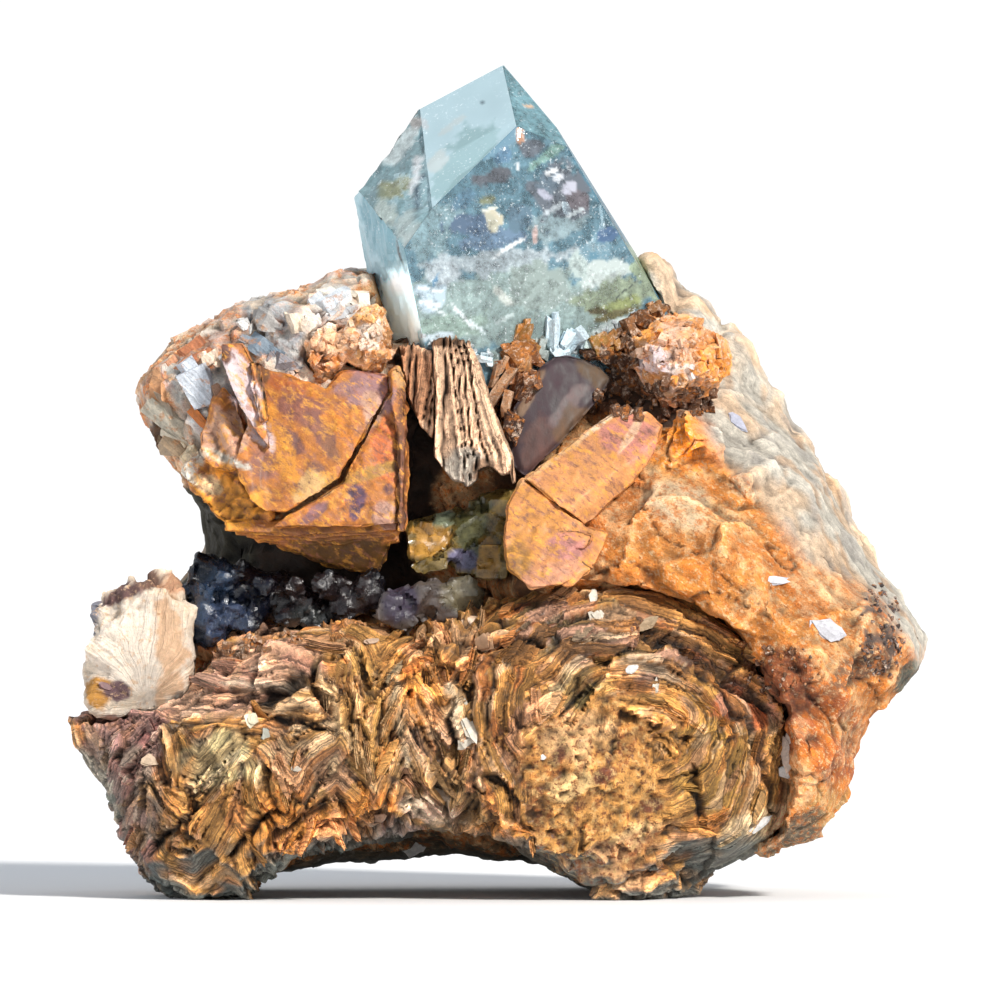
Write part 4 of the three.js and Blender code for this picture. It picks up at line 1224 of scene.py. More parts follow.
book_parts = [
    book_part("top", TOP_LEAF, 1.1, top_leaf_face, 70, fray=0.3, round_off=0.1),
    book_part("face", FACE_LEAF, 3.0, lambda x, z: -14.5 + 0.12 * (x + 14) + 0.22 * (z - 44), 71, pits=0.14,
              fray=0.2),
    book_part("edge", EDGE_SLAB, 3.4, lambda x, z: -15.0 + 0.5 * (x + 9.8) + 0.16 * (z - 44), 72, fray=0.5),
    book_part("stripes", STRIPED_EDGE, 2.0, lambda x, z: -16.2 + 0.9 * (x + 24) + 0.3 * (z - 47)
              + 0.35 * np.sin(9 * x + 2.2 * z), 88, pits=0.1, fray=0.4),
    book_part("wedge", WEDGE, 4.0, lambda x, z: -11.2 + 0.02 * x - 0.5 * (z - 35), 73, fray=0.4),
    book_part("sliver", SLIVER, 1.8, lambda x, z: -15.4 + 0.5 * (x + 25) + 0.3 * (z - 48), 74, pits=0.05,
              fray=0.15),
    book_part("fold", FOLD, 2.6,
              lambda x, z: -12.9 - 0.3 * (x + 27) + 0.2 * (z - 46) + 0.5 * np.sin(1.9 * x + 0.8 * z), 75,
              pits=0.2, fray=0.4),
    book_part("crumbs", CRUMBS, 4.4, lambda x, z: -12.2 - 0.15 * (x + 27) + 0.3 * (z - 41), 76,
              pits=0.3, fray=0.5, level=1.2),
]
hewn(book_parts[-1], 1.1, 24, 89, share=0.8, most=0.5)
for number in range(5):
    step = 0.42 * number
    outline = [
        (-26.9 + 0.5 * number, 37.2), (-27.0 + 1.1 * number, 36.1 - 0.3 * number),
        (-18.0, 35.8 - 0.34 * number), (-10.0 + 0.1 * number, 36.2 - 0.3 * number), (-9.8, 37.6),
    ]
    book_parts.append(
        book_part(f"low{number}", outline, 0.9,
                  lambda x, z, step=step: -14.2 + step * 2 + 0.03 * (x + 18) + 0.3 * (z - 36), 77 + number,
                  fray=0.35, round_off=0.05)
    )
book = one_piece("large_mica_book", book_parts)

BOOK_PATCHES = [
    (-18, 45, 9, 9, 0, (206, 126, 52)), (-16.6, 47.6, 5.4, 0.8, -48, (230, 138, 40)),
    (-12.6, 50.2, 3.0, 2.0, -30, (176, 130, 128)), (-12.4, 47.6, 1.0, 2.4, 0, (206, 160, 134)),
    (-20.6, 50.4, 2.6, 0.9, -20, (196, 104, 40)), (-19.4, 48.4, 2.2, 1.6, -30, (160, 98, 78)),
    (-17.6, 46.2, 2.2, 1.0, -50, (152, 98, 84)), (-20.0, 45.0, 1.6, 0.7, -50, (140, 90, 78)),
    (-16.4, 44.4, 1.4, 0.7, -60, (168, 112, 80)), (-17.4, 42.0, 1.4, 0.8, -50, (150, 100, 78)),
    (-21.4, 44.6, 0.9, 5.6, 22, (236, 156, 56)), (-18.0, 40.8, 2.2, 1.2, 30, (236, 186, 120)),
    (-23.4, 42.6, 1.4, 1.4, 0, (166, 106, 84)), (-24.2, 40.4, 0.6, 0.5, 0, (150, 92, 60)),
    (-23.9, 50.0, 0.9, 3.4, -14, (134, 86, 50)), (-11.0, 44.0, 1.6, 3.4, 10, (224, 118, 56)),
    (-12.6, 42.0, 3.4, 0.6, 14, (190, 140, 66)), (-14.0, 39.6, 0.8, 1.0, 0, (104, 72, 94)),
    (-14.1, 38.0, 0.5, 0.7, 0, (104, 72, 94)), (-10.8, 40.4, 0.5, 0.6, 0, (120, 80, 86)),
    (-18.0, 38.0, 1.6, 0.6, 40, (146, 100, 100)), (-10.9, 37.6, 1.3, 1.2, 0, (206, 156, 134)),
    (-9.5, 44, 0.6, 9, 0, (116, 70, 42)), (-9.7, 51.6, 0.8, 1.2, 0, (214, 164, 110)),
    (-15.5, 34, 6.5, 2.2, 0, (120, 80, 28)), (-17, 35.9, 9, 0.5, -2, (170, 112, 66)),
    (-25.3, 50.4, 1.5, 5.2, 20, (240, 220, 222)), (-26.9, 54.2, 0.7, 1.3, 0, (110, 70, 56)),
    (-27, 46, 2.2, 3.2, 10, (222, 170, 138)), (-26.6, 43.2, 3.0, 0.5, -20, PALE_CREAM),
    (-27.2, 39.6, 4.4, 2.8, -35, (250, 166, 56)), (-28.8, 41.2, 1.4, 0.8, -35, (250, 214, 160)),
    (-30.6, 42.6, 1.6, 1.4, 0, PALE_CREAM),
]
paint = patched(points_of(book), tone(206, 128, 60), BOOK_PATCHES, 90, 0.45, 0.15, 1.6)
dress(book, RUSTY_MICA, 0.88 * paint, 10, 0.16)
print("large book quads:", len(book.data.polygons))

# %% [markdown]
# Under the crystal stands a book seen on edge. Its leaves fan out downwards, and end at uneven
# heights, like a worn paintbrush. Two plates are extruded deep, and the front is ploughed into
# ridges that follow the fan: the place between the left and the right edge, counted in leaves.

# %% The ridged book
RIDGED_MAIN = [
    (-6.5, 55.0), (-5.8, 55.5), (-4.0, 55.4), (-2.8, 54.9), (-1.7, 52.3), (-0.7, 49.0), (0.4, 46.0),
    (1.5, 43.4), (1.7, 40.8), (0.4, 40.3), (-0.8, 41.4), (-1.8, 40.8), (-2.9, 39.7), (-4.4, 40.1),
    (-5.6, 41.5), (-6.2, 43.0), (-6.1, 49.0),
]
RIDGED_LEFT = [
    (-9.8, 54.5), (-8.6, 54.9), (-6.6, 54.2), (-6.2, 50.0), (-6.4, 45.4), (-7.6, 46.6), (-8.9, 49.6),
]
FAN_HEIGHTS = [39.7, 43.4, 46.0, 49.0, 52.3, 54.9]
FAN_LEFT = [-6.1, -6.2, -6.1, -6.1, -6.1, -6.2]
FAN_RIGHT = [1.9, 1.6, 0.5, -0.6, -1.6, -2.7]
FAN_LEAVES = 6


def fan_place(x, z):
    """Where a point lies across the fan, counted in leaves from its left edge."""
    left, right = np.interp(z, FAN_HEIGHTS, FAN_LEFT), np.interp(z, FAN_HEIGHTS, FAN_RIGHT)
    return FAN_LEAVES * (x - left) / (right - left)


def plough(piece, place, deep, seed):
    """Splits the front of a plate into uneven splinters that follow the leaves."""
    points = points_of(piece)
    along = np.stack([place, points[:, 2] / 12, 0 * place], 1)
    uneven = place + 1.3 * clouds(along, 1.9, seed + 2, 2)
    number = np.floor(uneven)
    lot = drawn_lot(np.stack([number, 0 * number, 0 * number], 1), seed)
    _, chip, _ = shards(np.stack([2.6 * uneven, points[:, 2] / 6, 0 * place], 1), 1, seed + 1)
    in_leaf = uneven - number - 0.5
    gap = eased(np.abs(in_leaf), 0.4, 0.5) * (0.4 + 0.6 * (lot > 0.5))
    front_side = eased(normals_of(piece)[:, 1], -0.2, -0.6)
    crown = 1 - 4 * in_leaf**2
    grain = 0.1 * clouds(points, 0.7, seed + 3, 2)
    height = deep * (0.6 * lot + 0.35 * chip[:, 0] + 0.3 * crown - 0.5 * gap + grain)
    points[:, 1] -= front_side * height
    points[:, 2] += 2.2 * (lot - 0.3) * eased(points[:, 2], 45.0, 40.5)
    points[:, 2] -= 0.9 * (chip[:, 1] - 0.3) * eased(points[:, 2], 54.0, 55.2)
    move_to(piece, points)
    remember(piece, "layer", place * 1.3)
    # Each splinter and chip draws its own lightness, and the gaps between splinters are painted darker, as
    # the shade in them.
    remember(piece, "shade", (0.76 + 0.4 * lot) * (0.72 + 0.5 * chip[:, 0]) * (1 - 0.5 * gap))


main_stack = plate("main", RIDGED_MAIN, 6.0, 0.2)
place = fan_place(points_of(main_stack)[:, 0], points_of(main_stack)[:, 2])
plough(main_stack, place, 1.3, 100)
left_stack = plate("left", RIDGED_LEFT, 5.0, 0.2)
place = 1.15 * (points_of(left_stack)[:, 0] + 10) - 0.16 * (points_of(left_stack)[:, 2] - 50)
plough(left_stack, place, 1.0, 103)
for piece, base in ((main_stack, -12.6), (left_stack, -11.2)):
    points = points_of(piece)
    points[:, 1] += base + 0.22 * (points[:, 2] - 48)
    points[:, [0, 2]] += 0.12 * np.stack([clouds(points, 1.2, 105, 2), clouds(points, 1.2, 106, 2)], 1)
    move_to(piece, points)
ridged = one_piece("ridged_mica_book", [main_stack, left_stack])
crisp(ridged, 50)
RIDGED_PATCHES = [
    (-3.2, 41.8, 2.4, 2.4, 0, (206, 190, 172)), (-1.0, 42.0, 1.6, 1.4, 0, (140, 110, 86)),
    (-8.5, 51, 2, 4, 0, (196, 142, 104)), (-6.1, 55.0, 3.4, 0.5, 0, (110, 78, 52)),
]
shade = np.empty(len(ridged.data.vertices), np.float32)
ridged.data.attributes["shade"].data.foreach_get("value", shade)
paint = patched(points_of(ridged), tone(250, 204, 166), RIDGED_PATCHES, 107)
dress(ridged, TAN_MICA, paint * shade[:, None], 9, 0.22)
print("ridged book quads:", len(ridged.data.polygons))

# %% [markdown]
# ## The tan book, the purple disc and the olive leaves
#
# Three smoother books fill the middle. The tan one is a large flat leaf with a crack across it, and
# a highlight is painted along its upper edge. The disc is a dark leaf whose pearly streaks are a
# painted sheen. The olive leaves lie deep in the hollow, glassy enough to catch the light.

# %% The tan book
TAN_UPPER = [
    (2.6, 41.4), (5.4, 39.2), (8.5, 36.9), (10.4, 38.4), (13.4, 41.0), (15.4, 44.0), (16.3, 46.7),
    (14.6, 48.0), (12.2, 48.4), (9.7, 46.8), (6.4, 44.2), (3.2, 41.9),
]
TAN_LOWER = [
    (2.4, 41.5), (1.0, 38.8), (0.5, 35.4), (0.9, 32.6), (3.2, 30.6), (6.2, 31.0), (9.6, 33.0), (11.0, 36.2),
    (8.5, 36.7), (5.4, 39.1),
]


def sunk_at(beyond, start, end, deep):
    """Bends a plate back into the stone, from `start` to `end` mm beyond a line."""
    return deep * eased(beyond, start, end)


tan_parts = [
    book_part("upper", TAN_UPPER, 2.2, lambda x, z: -17.3 + 0.1 * (x - 2.4) + 0.52 * (z - 41.2)
              + sunk_at(0.6 * (x - 2.6) - 0.8 * (z - 41.4), 4.6, 7.4, 1.3), 110,
              pits=0.07, fray=0.25, round_off=0.08),
    book_part("lower", TAN_LOWER, 2.8, lambda x, z: -17.1 + 0.12 * (x - 1.9) + 0.5 * (z - 40.9)
              + sunk_at(x - 0.3 * (z - 34), 6.8, 10.2, 1.3), 111,
              pits=0.1, fray=0.25, round_off=0.08),
    book_part("terrace_one", [(3.2, 33.4), (3.6, 31.2), (7.4, 30.8), (9.4, 32.6), (8.0, 33.6), (5.4, 33.2)],
              1.0, lambda x, z: -20.9 + 0.06 * x + 0.35 * (z - 32), 112, pits=0.1, fray=0.4),
    book_part("terrace_two", [(5.6, 36.2), (6.2, 34.2), (8.6, 34.4), (9.4, 35.8), (7.6, 36.4)], 0.9,
              lambda x, z: -19.9 + 0.06 * x + 0.42 * (z - 35), 113, pits=0.1, fray=0.4),
]
tan_book = one_piece("tan_mica_book", tan_parts)
# The thin light lines at 10.6, 47.2 and 5.2, 43.4 run along the upper edge: a painted highlight.
TAN_PATCHES = [
    (12.8, 45.4, 3.0, 2.4, 30, (206, 130, 112)), (13.0, 45.6, 0.35, 3.4, -32, (244, 196, 160)),
    (10.6, 47.2, 3.2, 0.3, 38, (250, 214, 176)), (9, 41, 4, 2.4, 20, (222, 150, 86)),
    (5.2, 43.4, 4.4, 0.7, 38, (230, 178, 122)), (3.6, 36.8, 2.8, 3.6, 0, (218, 146, 70)),
    (6.6, 34.6, 2.2, 1.4, 0, (196, 128, 116)), (5, 32, 3.4, 1.2, 15, (212, 146, 108)),
    (1.6, 33.5, 1.4, 2.4, 0, (180, 124, 48)),
]
paint = patched(points_of(tan_book), tone(220, 146, 84), TAN_PATCHES, 114, 0.4, 0.2, 1.8)
dress(tan_book, RUSTY_MICA, paint, 10, 0.16)

# %% [markdown]
# Smooth mica is pearly: light slides over it in streaks. So the disc and the olive leaves get a
# finish of their own, with the gloss and a painted sheen, streaks of lighter and darker colour,
# drawn from the same noise, stretched where the streaks are long. Their hollows are painted darker,
# as shade, and their crests lighter, as a highlight.

# %% Glossy mica
def glossy_mica(name, streak_size, sheen_contrast, rough, coat, stretch=(1, 1, 1)):
    material, tree, shader, where = new_finish(name)
    streaks = noise(tree, drawn_out(tree, where, stretch), streak_size, 5, 0.65)
    # The colour is painted lighter and darker along the streaks, as a sheen, the hollows darker, as shade,
    # and the crests lighter, as a highlight.
    shade = times(
        tree, ranged(tree, streaks, 0.3, 0.72, 1 - sheen_contrast, 1 + sheen_contrast),
        ranged(tree, written(tree, "hollow"), -1, 1, 1.25, 0.45),
    )
    relief = joined(tree, "ADD", streaks, times(tree, noise(tree, where, 0.3, 4), 0.4))
    fill(tree, shader, {
        "Base Color": scaled(tree, written(tree, "paint", "Color"), shade),
        "Roughness": ranged(tree, streaks, 0.3, 0.7, *rough),
        "Normal": bumped(tree, relief, 0.05),
        "Coat Weight": coat,
        "Coat Roughness": 0.12,
    })
    return material


# %% The purple disc
DISC = [
    (1.3, 44.1), (1.1, 46.6), (1.6, 48.5), (2.5, 50.1), (3.4, 51.6), (4.5, 52.8), (5.6, 53.5), (6.8, 53.6),
    (8.6, 53.2), (10.1, 52.4), (11.2, 51.4), (10.4, 49.7), (8.2, 47.3), (6.1, 44.8), (4.2, 43.1),
    (2.7, 41.6), (1.7, 42.4),
]
disc = book_part(
    "purple_mica_disc", DISC, 1.2,
    lambda x, z: -11.5 + 0.12 * (x - 1.3) + 0.28 * (z - 44.1) - 0.35 * np.cos((x + z - 53) / 3.4), 120,
    pits=0.03, fray=0.1, round_off=0.3,
)
# The pale streaks at 6.2, 47.4 and at 2.6, 48.6 are a painted sheen.
DISC_PATCHES = [
    (6.2, 47.4, 1.0, 4.4, -35, (150, 126, 124)), (4.0, 45.0, 2.0, 2.4, -20, (132, 92, 84)),
    (7.4, 46.6, 1.6, 2.4, -38, (134, 98, 70)), (9.4, 51.8, 2.0, 1.0, -30, (120, 90, 60)),
    (2.6, 48.6, 0.5, 3.4, -28, (176, 140, 110)),
]
PURPLE_MICA = glossy_mica("purple_mica", 1.1, 0.45, (0.5, 0.8), 0.0, (1.0, 1.0, 0.35))
paint = 0.48 * patched(points_of(disc), tone(82, 58, 66), DISC_PATCHES, 121, 0.35, 0.2, 1.4)
dress(disc, PURPLE_MICA, paint, 8, 0.2)

# %% The olive leaves
OLIVE_LEFT = [
    (-9.2, 35.2), (-8.9, 33.8), (-8.2, 32.7), (-6.8, 33.2), (-4.6, 35.2), (-2.9, 37.6), (-3.9, 38.7),
    (-5.8, 38.1), (-8.9, 37.1),
]
OLIVE_RIGHT = [
    (-5.3, 33.9), (-3.8, 31.6), (0.8, 31.4), (1.8, 34.3), (1.8, 37.3), (2.4, 40.2), (-0.4, 40.4),
    (-3.0, 38.9), (-4.6, 36.4),
]
olive_parts = [
    book_part("left", OLIVE_LEFT, 1.2, lambda x, z: -11.3 + 0.16 * (x + 9.2) + 0.48 * (z - 35.2), 130,
              pits=0.05, fray=0.15),
    book_part("right", OLIVE_RIGHT, 1.8, lambda x, z: -11.6 - 0.1 * (x + 5.3) + 0.34 * (z - 33.8), 131,
              pits=0.12, fray=0.3),
    book_part("pane", [(-8.6, 32.9), (-8.2, 32.1), (-5.0, 32.4), (-3.2, 34.6), (-4.4, 34.8)], 0.8,
              lambda x, z: -12.6 + 0.05 * x + 0.3 * (z - 33), 132, pits=0.04, fray=0.2),
]
olive = one_piece("olive_mica_leaves", olive_parts)
hewn(olive, 1.6, 16, 134, share=0.9, most=0.5)
crisp(olive, 25)
OLIVE_PATCHES = [
    (-6.6, 35.6, 2.6, 1.6, 35, (176, 130, 60)), (-5.2, 37.4, 1.2, 0.9, 0, (140, 148, 120)),
    (-2.4, 36.4, 2.0, 3.0, 0, (84, 82, 50)), (-3.4, 33.4, 1.4, 1.1, 0, (92, 88, 110)),
    (-0.9, 33.4, 1.0, 2.2, 0, (150, 112, 46)),
]
OLIVE_MICA = glossy_mica("olive_mica", 0.7, 0.55, (0.15, 0.5), 0.3)
paint = patched(points_of(olive), tone(112, 92, 46), OLIVE_PATCHES, 133, 0.4, 0.1, 1.2)
dress(olive, OLIVE_MICA, paint, 8, 0.2)
print("books made:", [p.name for p in (book, ridged, tan_book, disc, olive)])

# %% [markdown]
# ## The fan and the knobs
#
# The cream fan at the left end is a spray of feldspar blades. Its fibres radiate from a root low on
# the right, so the angle about the root is the leaf coordinate here. The knobs beside the crystal
# are crumbly feldspar: a heap of flat-faced crystals of many tints, from cream to rust.

# %% The fan
FAN_ROOT = (-32.0, 19.6)
fan = even_skin(bmesh_of("feldspar_fan"), "cream_fan", 0.26)
move_to(fan, blurred(fan, points_of(fan), 60))
points = points_of(fan)
turn = np.arctan2(points[:, 2] - FAN_ROOT[1], points[:, 0] - FAN_ROOT[0] + 2.5) % (2 * math.pi)
from_root = np.hypot(points[:, 0] - FAN_ROOT[0], points[:, 2] - FAN_ROOT[1])
turn += 0.16 * clouds(points, 4, 139, 2)
spokes = np.stack([turn * 11, from_root / 3.5, 0 * turn], 1)
rim = eased(from_root, 8.5, 10.5)
relief = 0.24 * clouds(spokes, 0.8, 140, 4) + rim * (1.3 * clouds(points, 1.7, 141, 3) - 0.3)
push(fan, relief, smooth=6)
hewn(fan, 2.0, 12, 143, share=0.4)
crisp(fan, 45)
FAN_PATCHES = [
    (-36, 24.5, 6, 6, 0, (248, 232, 214)), (-32.4, 25, 1.4, 5, 0, (232, 192, 156)),
    (-39.2, 20.4, 1.4, 1.4, 0, (206, 146, 66)), (-37.4, 20.2, 1.5, 1.0, -20, (112, 84, 88)),
    (-37.0, 30.2, 2.4, 0.9, 20, (110, 80, 76)), (-34.4, 31.4, 1.6, 1.0, 0, (120, 90, 76)),
    (-32.2, 31, 1.4, 0.8, 0, (204, 154, 120)), (-40.4, 27.8, 1.0, 1.6, 0, (130, 130, 140)),
]
paint = patched(points_of(fan), tone(240, 220, 196), FAN_PATCHES, 142, 0.55, 0.2, 1.6)
dress(fan, FAN_CREAM, paint, 10, 0.25)
remember(fan, "layer", turn * 9)


# %% The knobs
KNOB_TINTS = [ORANGE, CREAM, (222, 144, 76), (236, 212, 196), PEACH, (222, 178, 146)]
KNOB_PATCHES = [
    (-12.8, 56.4, 3.0, 2.6, 0, (246, 186, 118)), (-12.6, 55.6, 1.5, 1.8, 0, (250, 230, 210)),
    (-17, 54.8, 2.6, 2.2, 20, (238, 190, 150)), (-16.4, 56.6, 1.6, 0.7, 10, (250, 230, 210)),
    (-10.6, 54.6, 0.9, 2.4, 0, (190, 136, 86)), (-17.4, 52.8, 2.2, 1.0, 0, (214, 136, 76)),
    (16.8, 54.4, 3.2, 3.2, 0, (232, 188, 158)), (15.8, 52.8, 1.4, 1.2, 0, (222, 204, 206)),
    (18.2, 52.0, 1.6, 1.0, 0, (246, 230, 220)), (21.4, 53.0, 2.0, 1.9, 0, (240, 156, 62)),
    (14.6, 56.0, 1.5, 1.1, 0, (232, 156, 72)), (18.0, 50.6, 0.7, 1.1, 0, (226, 150, 66)),
    (16.0, 49.8, 4.0, 0.9, 0, (120, 80, 50)),
]


def knob_colour(points):
    return 1.25 * patched(points, tone(214, 146, 86), KNOB_PATCHES, 153, 0.6, 0.2, 1.4)


def knob(name, node, size, seed):
    piece = even_skin(bmesh_of(node), name, 0.2)
    for wide, tilt, share in ((1.5 * size, 34, 0.8), (size / 1.4, 30, 0.8), (size / 3, 18, 0.7)):
        hewn(piece, wide, tilt, seed, share=share, most=0.8 * wide)
    crisp(piece, 35)
    points = points_of(piece)
    crystals = lots_of(points, size / 2.4, seed, KNOB_TINTS)
    dress(piece, RUSTY_KNOB, toward(knob_colour(points), 0.3, crystals), 9, 0.25)
    return piece


knobs = [
    knob("left_knobs", "feldspar_knobs_left", 2.4, 150),
    knob("right_knob", "feldspar_knob_right", 3.0, 160),
]
print("fan and knobs made")

# %% [markdown]
# ## Smoky quartz
#
# In the recess under the large book sit rounded, glassy grains of quartz, blue-grey to black. They
# are broken grains set into each other under one even skin, which is softened and then broken into
# small flat faces again. The finish is dark glass that lets only a little light in.

# %% The quartz grains
def glassy_grains(name, grains):
    """Broken grains, grown together. A grain is its middle, its half sizes and its turn."""
    mesh = bmesh.new()
    for (x, y, z), (rx, ry, rz), turn in grains:
        shape = broken_grain(7)
        matrix = (
            Matrix.Translation(Vector(in_scene([x, y, z])))
            @ Matrix.Diagonal((2.25 * rx * MM, 2.25 * ry * MM, 2.25 * rz * MM, 1))
            @ Matrix.Rotation(turn, 4, "Y")
        )
        shape.transform(matrix)
        mesh.from_mesh(shape)
        bpy.data.meshes.remove(shape)
    piece = even_skin(mesh, name, 0.24)
    move_to(piece, blurred(piece, points_of(piece), 3))
    points = points_of(piece)
    push(piece, 0.3 * clouds(points, 2.4, 168, 2) + chipped(points, 1.5, 0.5, 169), smooth=4)
    hewn(piece, 1.4, 18, 167, share=0.6, most=0.4)
    crisp(piece, 30)
    return piece


SMOKY = [
    ((-28.2, -7, 30.4), (3.0, 2.8, 3.2), 0.3), ((-28.6, -9, 27.6), (2.4, 2.6, 2.7), 1.2),
    ((-24.6, -8, 30.2), (2.8, 2.8, 2.6), 2.1), ((-21.3, -7, 29.4), (2.3, 2.8, 2.3), 0.7),
    ((-18.6, -8.6, 29.0), (2.3, 2.8, 2.6), 1.7), ((-15.4, -9, 29.6), (2.1, 2.6, 2.7), 2.6),
    ((-12.8, -9, 29.8), (1.7, 2.6, 2.5), 0.9), ((-26.6, -10.6, 31.4), (1.5, 1.3, 1.4), 0.4),
    ((-29.2, -10.8, 30.2), (1.2, 1.1, 1.3), 1.4), ((-26.4, -11.6, 28.2), (1.4, 1.2, 1.2), 2.3),
    ((-23.0, -10.8, 31.2), (1.2, 1.1, 1.2), 0.8), ((-20.0, -10.8, 30.4), (1.1, 1.0, 1.4), 1.9),
    ((-17.0, -11.2, 30.8), (1.3, 1.0, 1.5), 0.2), ((-24.4, -11.4, 27.2), (1.6, 1.2, 1.2), 1.1),
    ((-28.0, -11.8, 26.4), (1.2, 1.0, 1.3), 2.7), ((-20.8, -11.6, 27.6), (1.3, 1.2, 1.1), 0.6),
]
GREY = [
    ((-9.2, -14.6, 28.8), (2.3, 2.4, 2.5), 0.5), ((-6.2, -14.2, 29.4), (2.2, 2.5, 2.3), 1.4),
    ((-3.5, -13.8, 29.8), (2.0, 2.4, 2.1), 2.3), ((-7.8, -16.2, 29.8), (1.0, 0.9, 1.2), 0.2),
    ((-5.0, -16.2, 30.0), (1.0, 0.9, 1.2), 1.0), ((-10.2, -16.2, 29.4), (0.9, 0.8, 1.1), 2.0),
]
smoky = glassy_grains("smoky_quartz", SMOKY)
SMOKY_PATCHES = [
    (-28.6, 29, 3.4, 4.6, 0, (56, 76, 104)), (-24, 30, 2.6, 2.4, 0, (20, 24, 40)),
    (-27, 27, 2.4, 2.4, 0, (72, 86, 116)), (-30, 32.6, 1.6, 1.8, 0, (18, 28, 46)),
    (-17, 29.6, 5.0, 3.0, 0, (50, 40, 42)), (-18.6, 27.4, 2.4, 1.6, 0, (60, 62, 62)),
]
GREY_PATCHES = [(-9.6, 29.4, 2.0, 2.0, 0, (54, 46, 60)), (-3.4, 30, 2.2, 2.0, 0, (98, 90, 70))]


def smoky_glass(name, see_in, rough):
    material, tree, shader, where = new_finish(name)
    veins = noise(tree, where, 0.8, 5, 0.7)
    fill(tree, shader, {
        "Base Color": scaled(tree, written(tree, "paint", "Color"), ranged(tree, veins, 0.3, 0.7, 0.5, 1.7)),
        "Roughness": ranged(tree, veins, 0.3, 0.7, *rough),
        "Normal": bumped(tree, veins, 0.12),
        "Transmission Weight": see_in,
        "IOR": 1.544,
    })
    return material


grey = glassy_grains("grey_quartz", GREY)
paint = 0.6 * patched(points_of(smoky), tone(26, 26, 34), SMOKY_PATCHES, 170, 0.25)
dress(smoky, smoky_glass("smoky_quartz", 0.35, (0.08, 0.4)), paint)
paint = patched(points_of(grey), tone(82, 74, 70), GREY_PATCHES, 171, 0.4)
dress(grey, smoky_glass("grey_quartz", 0.1, (0.2, 0.55)), paint)
print("quartz faces:", len(smoky.data.polygons), len(grey.data.polygons))

# %% [markdown]
# ## Chips, flakes and debris
#
# A few bright flakes of fresh mica and feldspar catch the sun all over the front, and dark crumbs
# lie round the right knob. Each flake is a torn leaf set on the surface where it lies, with its
# length, width and turn. The crumbs are broken grains, strewn over small areas.

# %% Bright flakes
bright_front = front_finder(mass, slope, tan_book, fan)
FLAKES = [  # x, z, length, width, turn in degrees, colour
    (-3.0, 17.6, 2.0, 5.2, 0, PALE_CREAM), (-4.4, 19.4, 0.9, 5.0, 3, CREAM),
    (-3.2, 15.6, 2.0, 1.6, 0, PALE_CREAM), (14.2, 27.0, 3.2, 1.5, 32, CREAM),
    (27.0, 31.4, 4.0, 1.1, -3, (226, 226, 232)), (32.2, 26.6, 4.2, 2.4, -28, (206, 204, 210)),
    (28.4, 14.4, 1.8, 4.2, 20, (240, 216, 196)), (28.0, 12.6, 2.6, 1.4, 0, WHITE),
    (13.2, 22.8, 1.9, 1.2, 35, WHITE), (-34.0, 13.8, 3.4, 1.5, 20, (236, 208, 178)),
    (-8.2, 4.6, 2.6, 1.8, 20, WHITE), (9.2, 29.6, 0.8, 3.2, -6, PALE_CREAM),
    (9.6, 28.0, 1.6, 1.6, 0, PALE_CREAM), (25.6, 7.4, 3.4, 1.2, 38, WHITE),
    (-24.0, 17.8, 1.4, 1.9, -20, (240, 224, 190)), (-2.6, 27.2, 2.6, 1.8, 5, (230, 190, 150)),
    (-1.2, 25.4, 2.6, 2.0, -10, (226, 180, 140)), (15.4, 21.0, 0.7, 2.4, -12, PALE_CREAM),
    (4.4, 14.2, 0.8, 0.8, 0, WHITE), (-19.6, 13.0, 1.4, 0.8, -10, PALE_CREAM),
    (23.6, 47.0, 1.7, 3.0, 25, (214, 216, 236)), (-12.4, 25.4, 1.6, 0.9, 10, (226, 190, 160)),
    (-22.4, 16.2, 1.6, 2.4, 30, (196, 196, 180)), (-38.6, 20.8, 1.8, 1.1, -30, MAUVE),
    (-11.4, 8.2, 1.4, 1.0, 0, (210, 176, 150)), (-6.0, 10.6, 3.2, 1.5, -15, (232, 210, 186)),
]
flake_places, flake_tints = [], []
for x, z, long, wide, turn, tint in FLAKES:
    hit = bright_front(x, z)
    if hit is None:
        print("no surface for the flake at", x, z)
        continue
    point, normal = hit
    normal = unit(normal + np.array([0.1, -0.6, 0.2]))
    for level in range(2):
        angle = math.radians(turn + DICE.uniform(-6, 6))
        along = unit(np.cross([-math.sin(angle), 0, math.cos(angle)], normal))
        along = along if along[0] > 0 else -along
        up = unit(np.cross(normal, along))
        up = up if up[2] > 0 else -up
        size = 1 - 0.12 * level
        shape = any_of(LEAVES[4:])
        spot = point + normal * (0.02 + 0.12 * level) + along * DICE.normal(0, 0.12)
        flake_places.append((shape, (along * long * size, up * wide * size, normal), spot))
        flake_tints.append(tone(*tint) * DICE.uniform(0.7, 0.9))
flakes, flake_owner = strewn("bright_flakes", flake_places)
dress(flakes, CHIP, np.array(flake_tints)[flake_owner])
print("bright flakes:", len(FLAKES))


# %% Debris and crumbs
def crumbs(count, middle, half, size, finder):
    """Places for broken grains over an ellipse on the front."""
    places = []
    for _ in range(count):
        angle, reach = DICE.uniform(0, 2 * math.pi), math.sqrt(DICE.random())
        x = middle[0] + half[0] * reach * math.cos(angle)
        z = middle[1] + half[1] * reach * math.sin(angle)
        hit = finder(x, z)
        if hit is not None:
            sizes = size * DICE.uniform(0.5, 1.5) * DICE.uniform(0.6, 1.4, 3)
            places.append((*tumbled_grain(sizes), hit[0]))
    return places


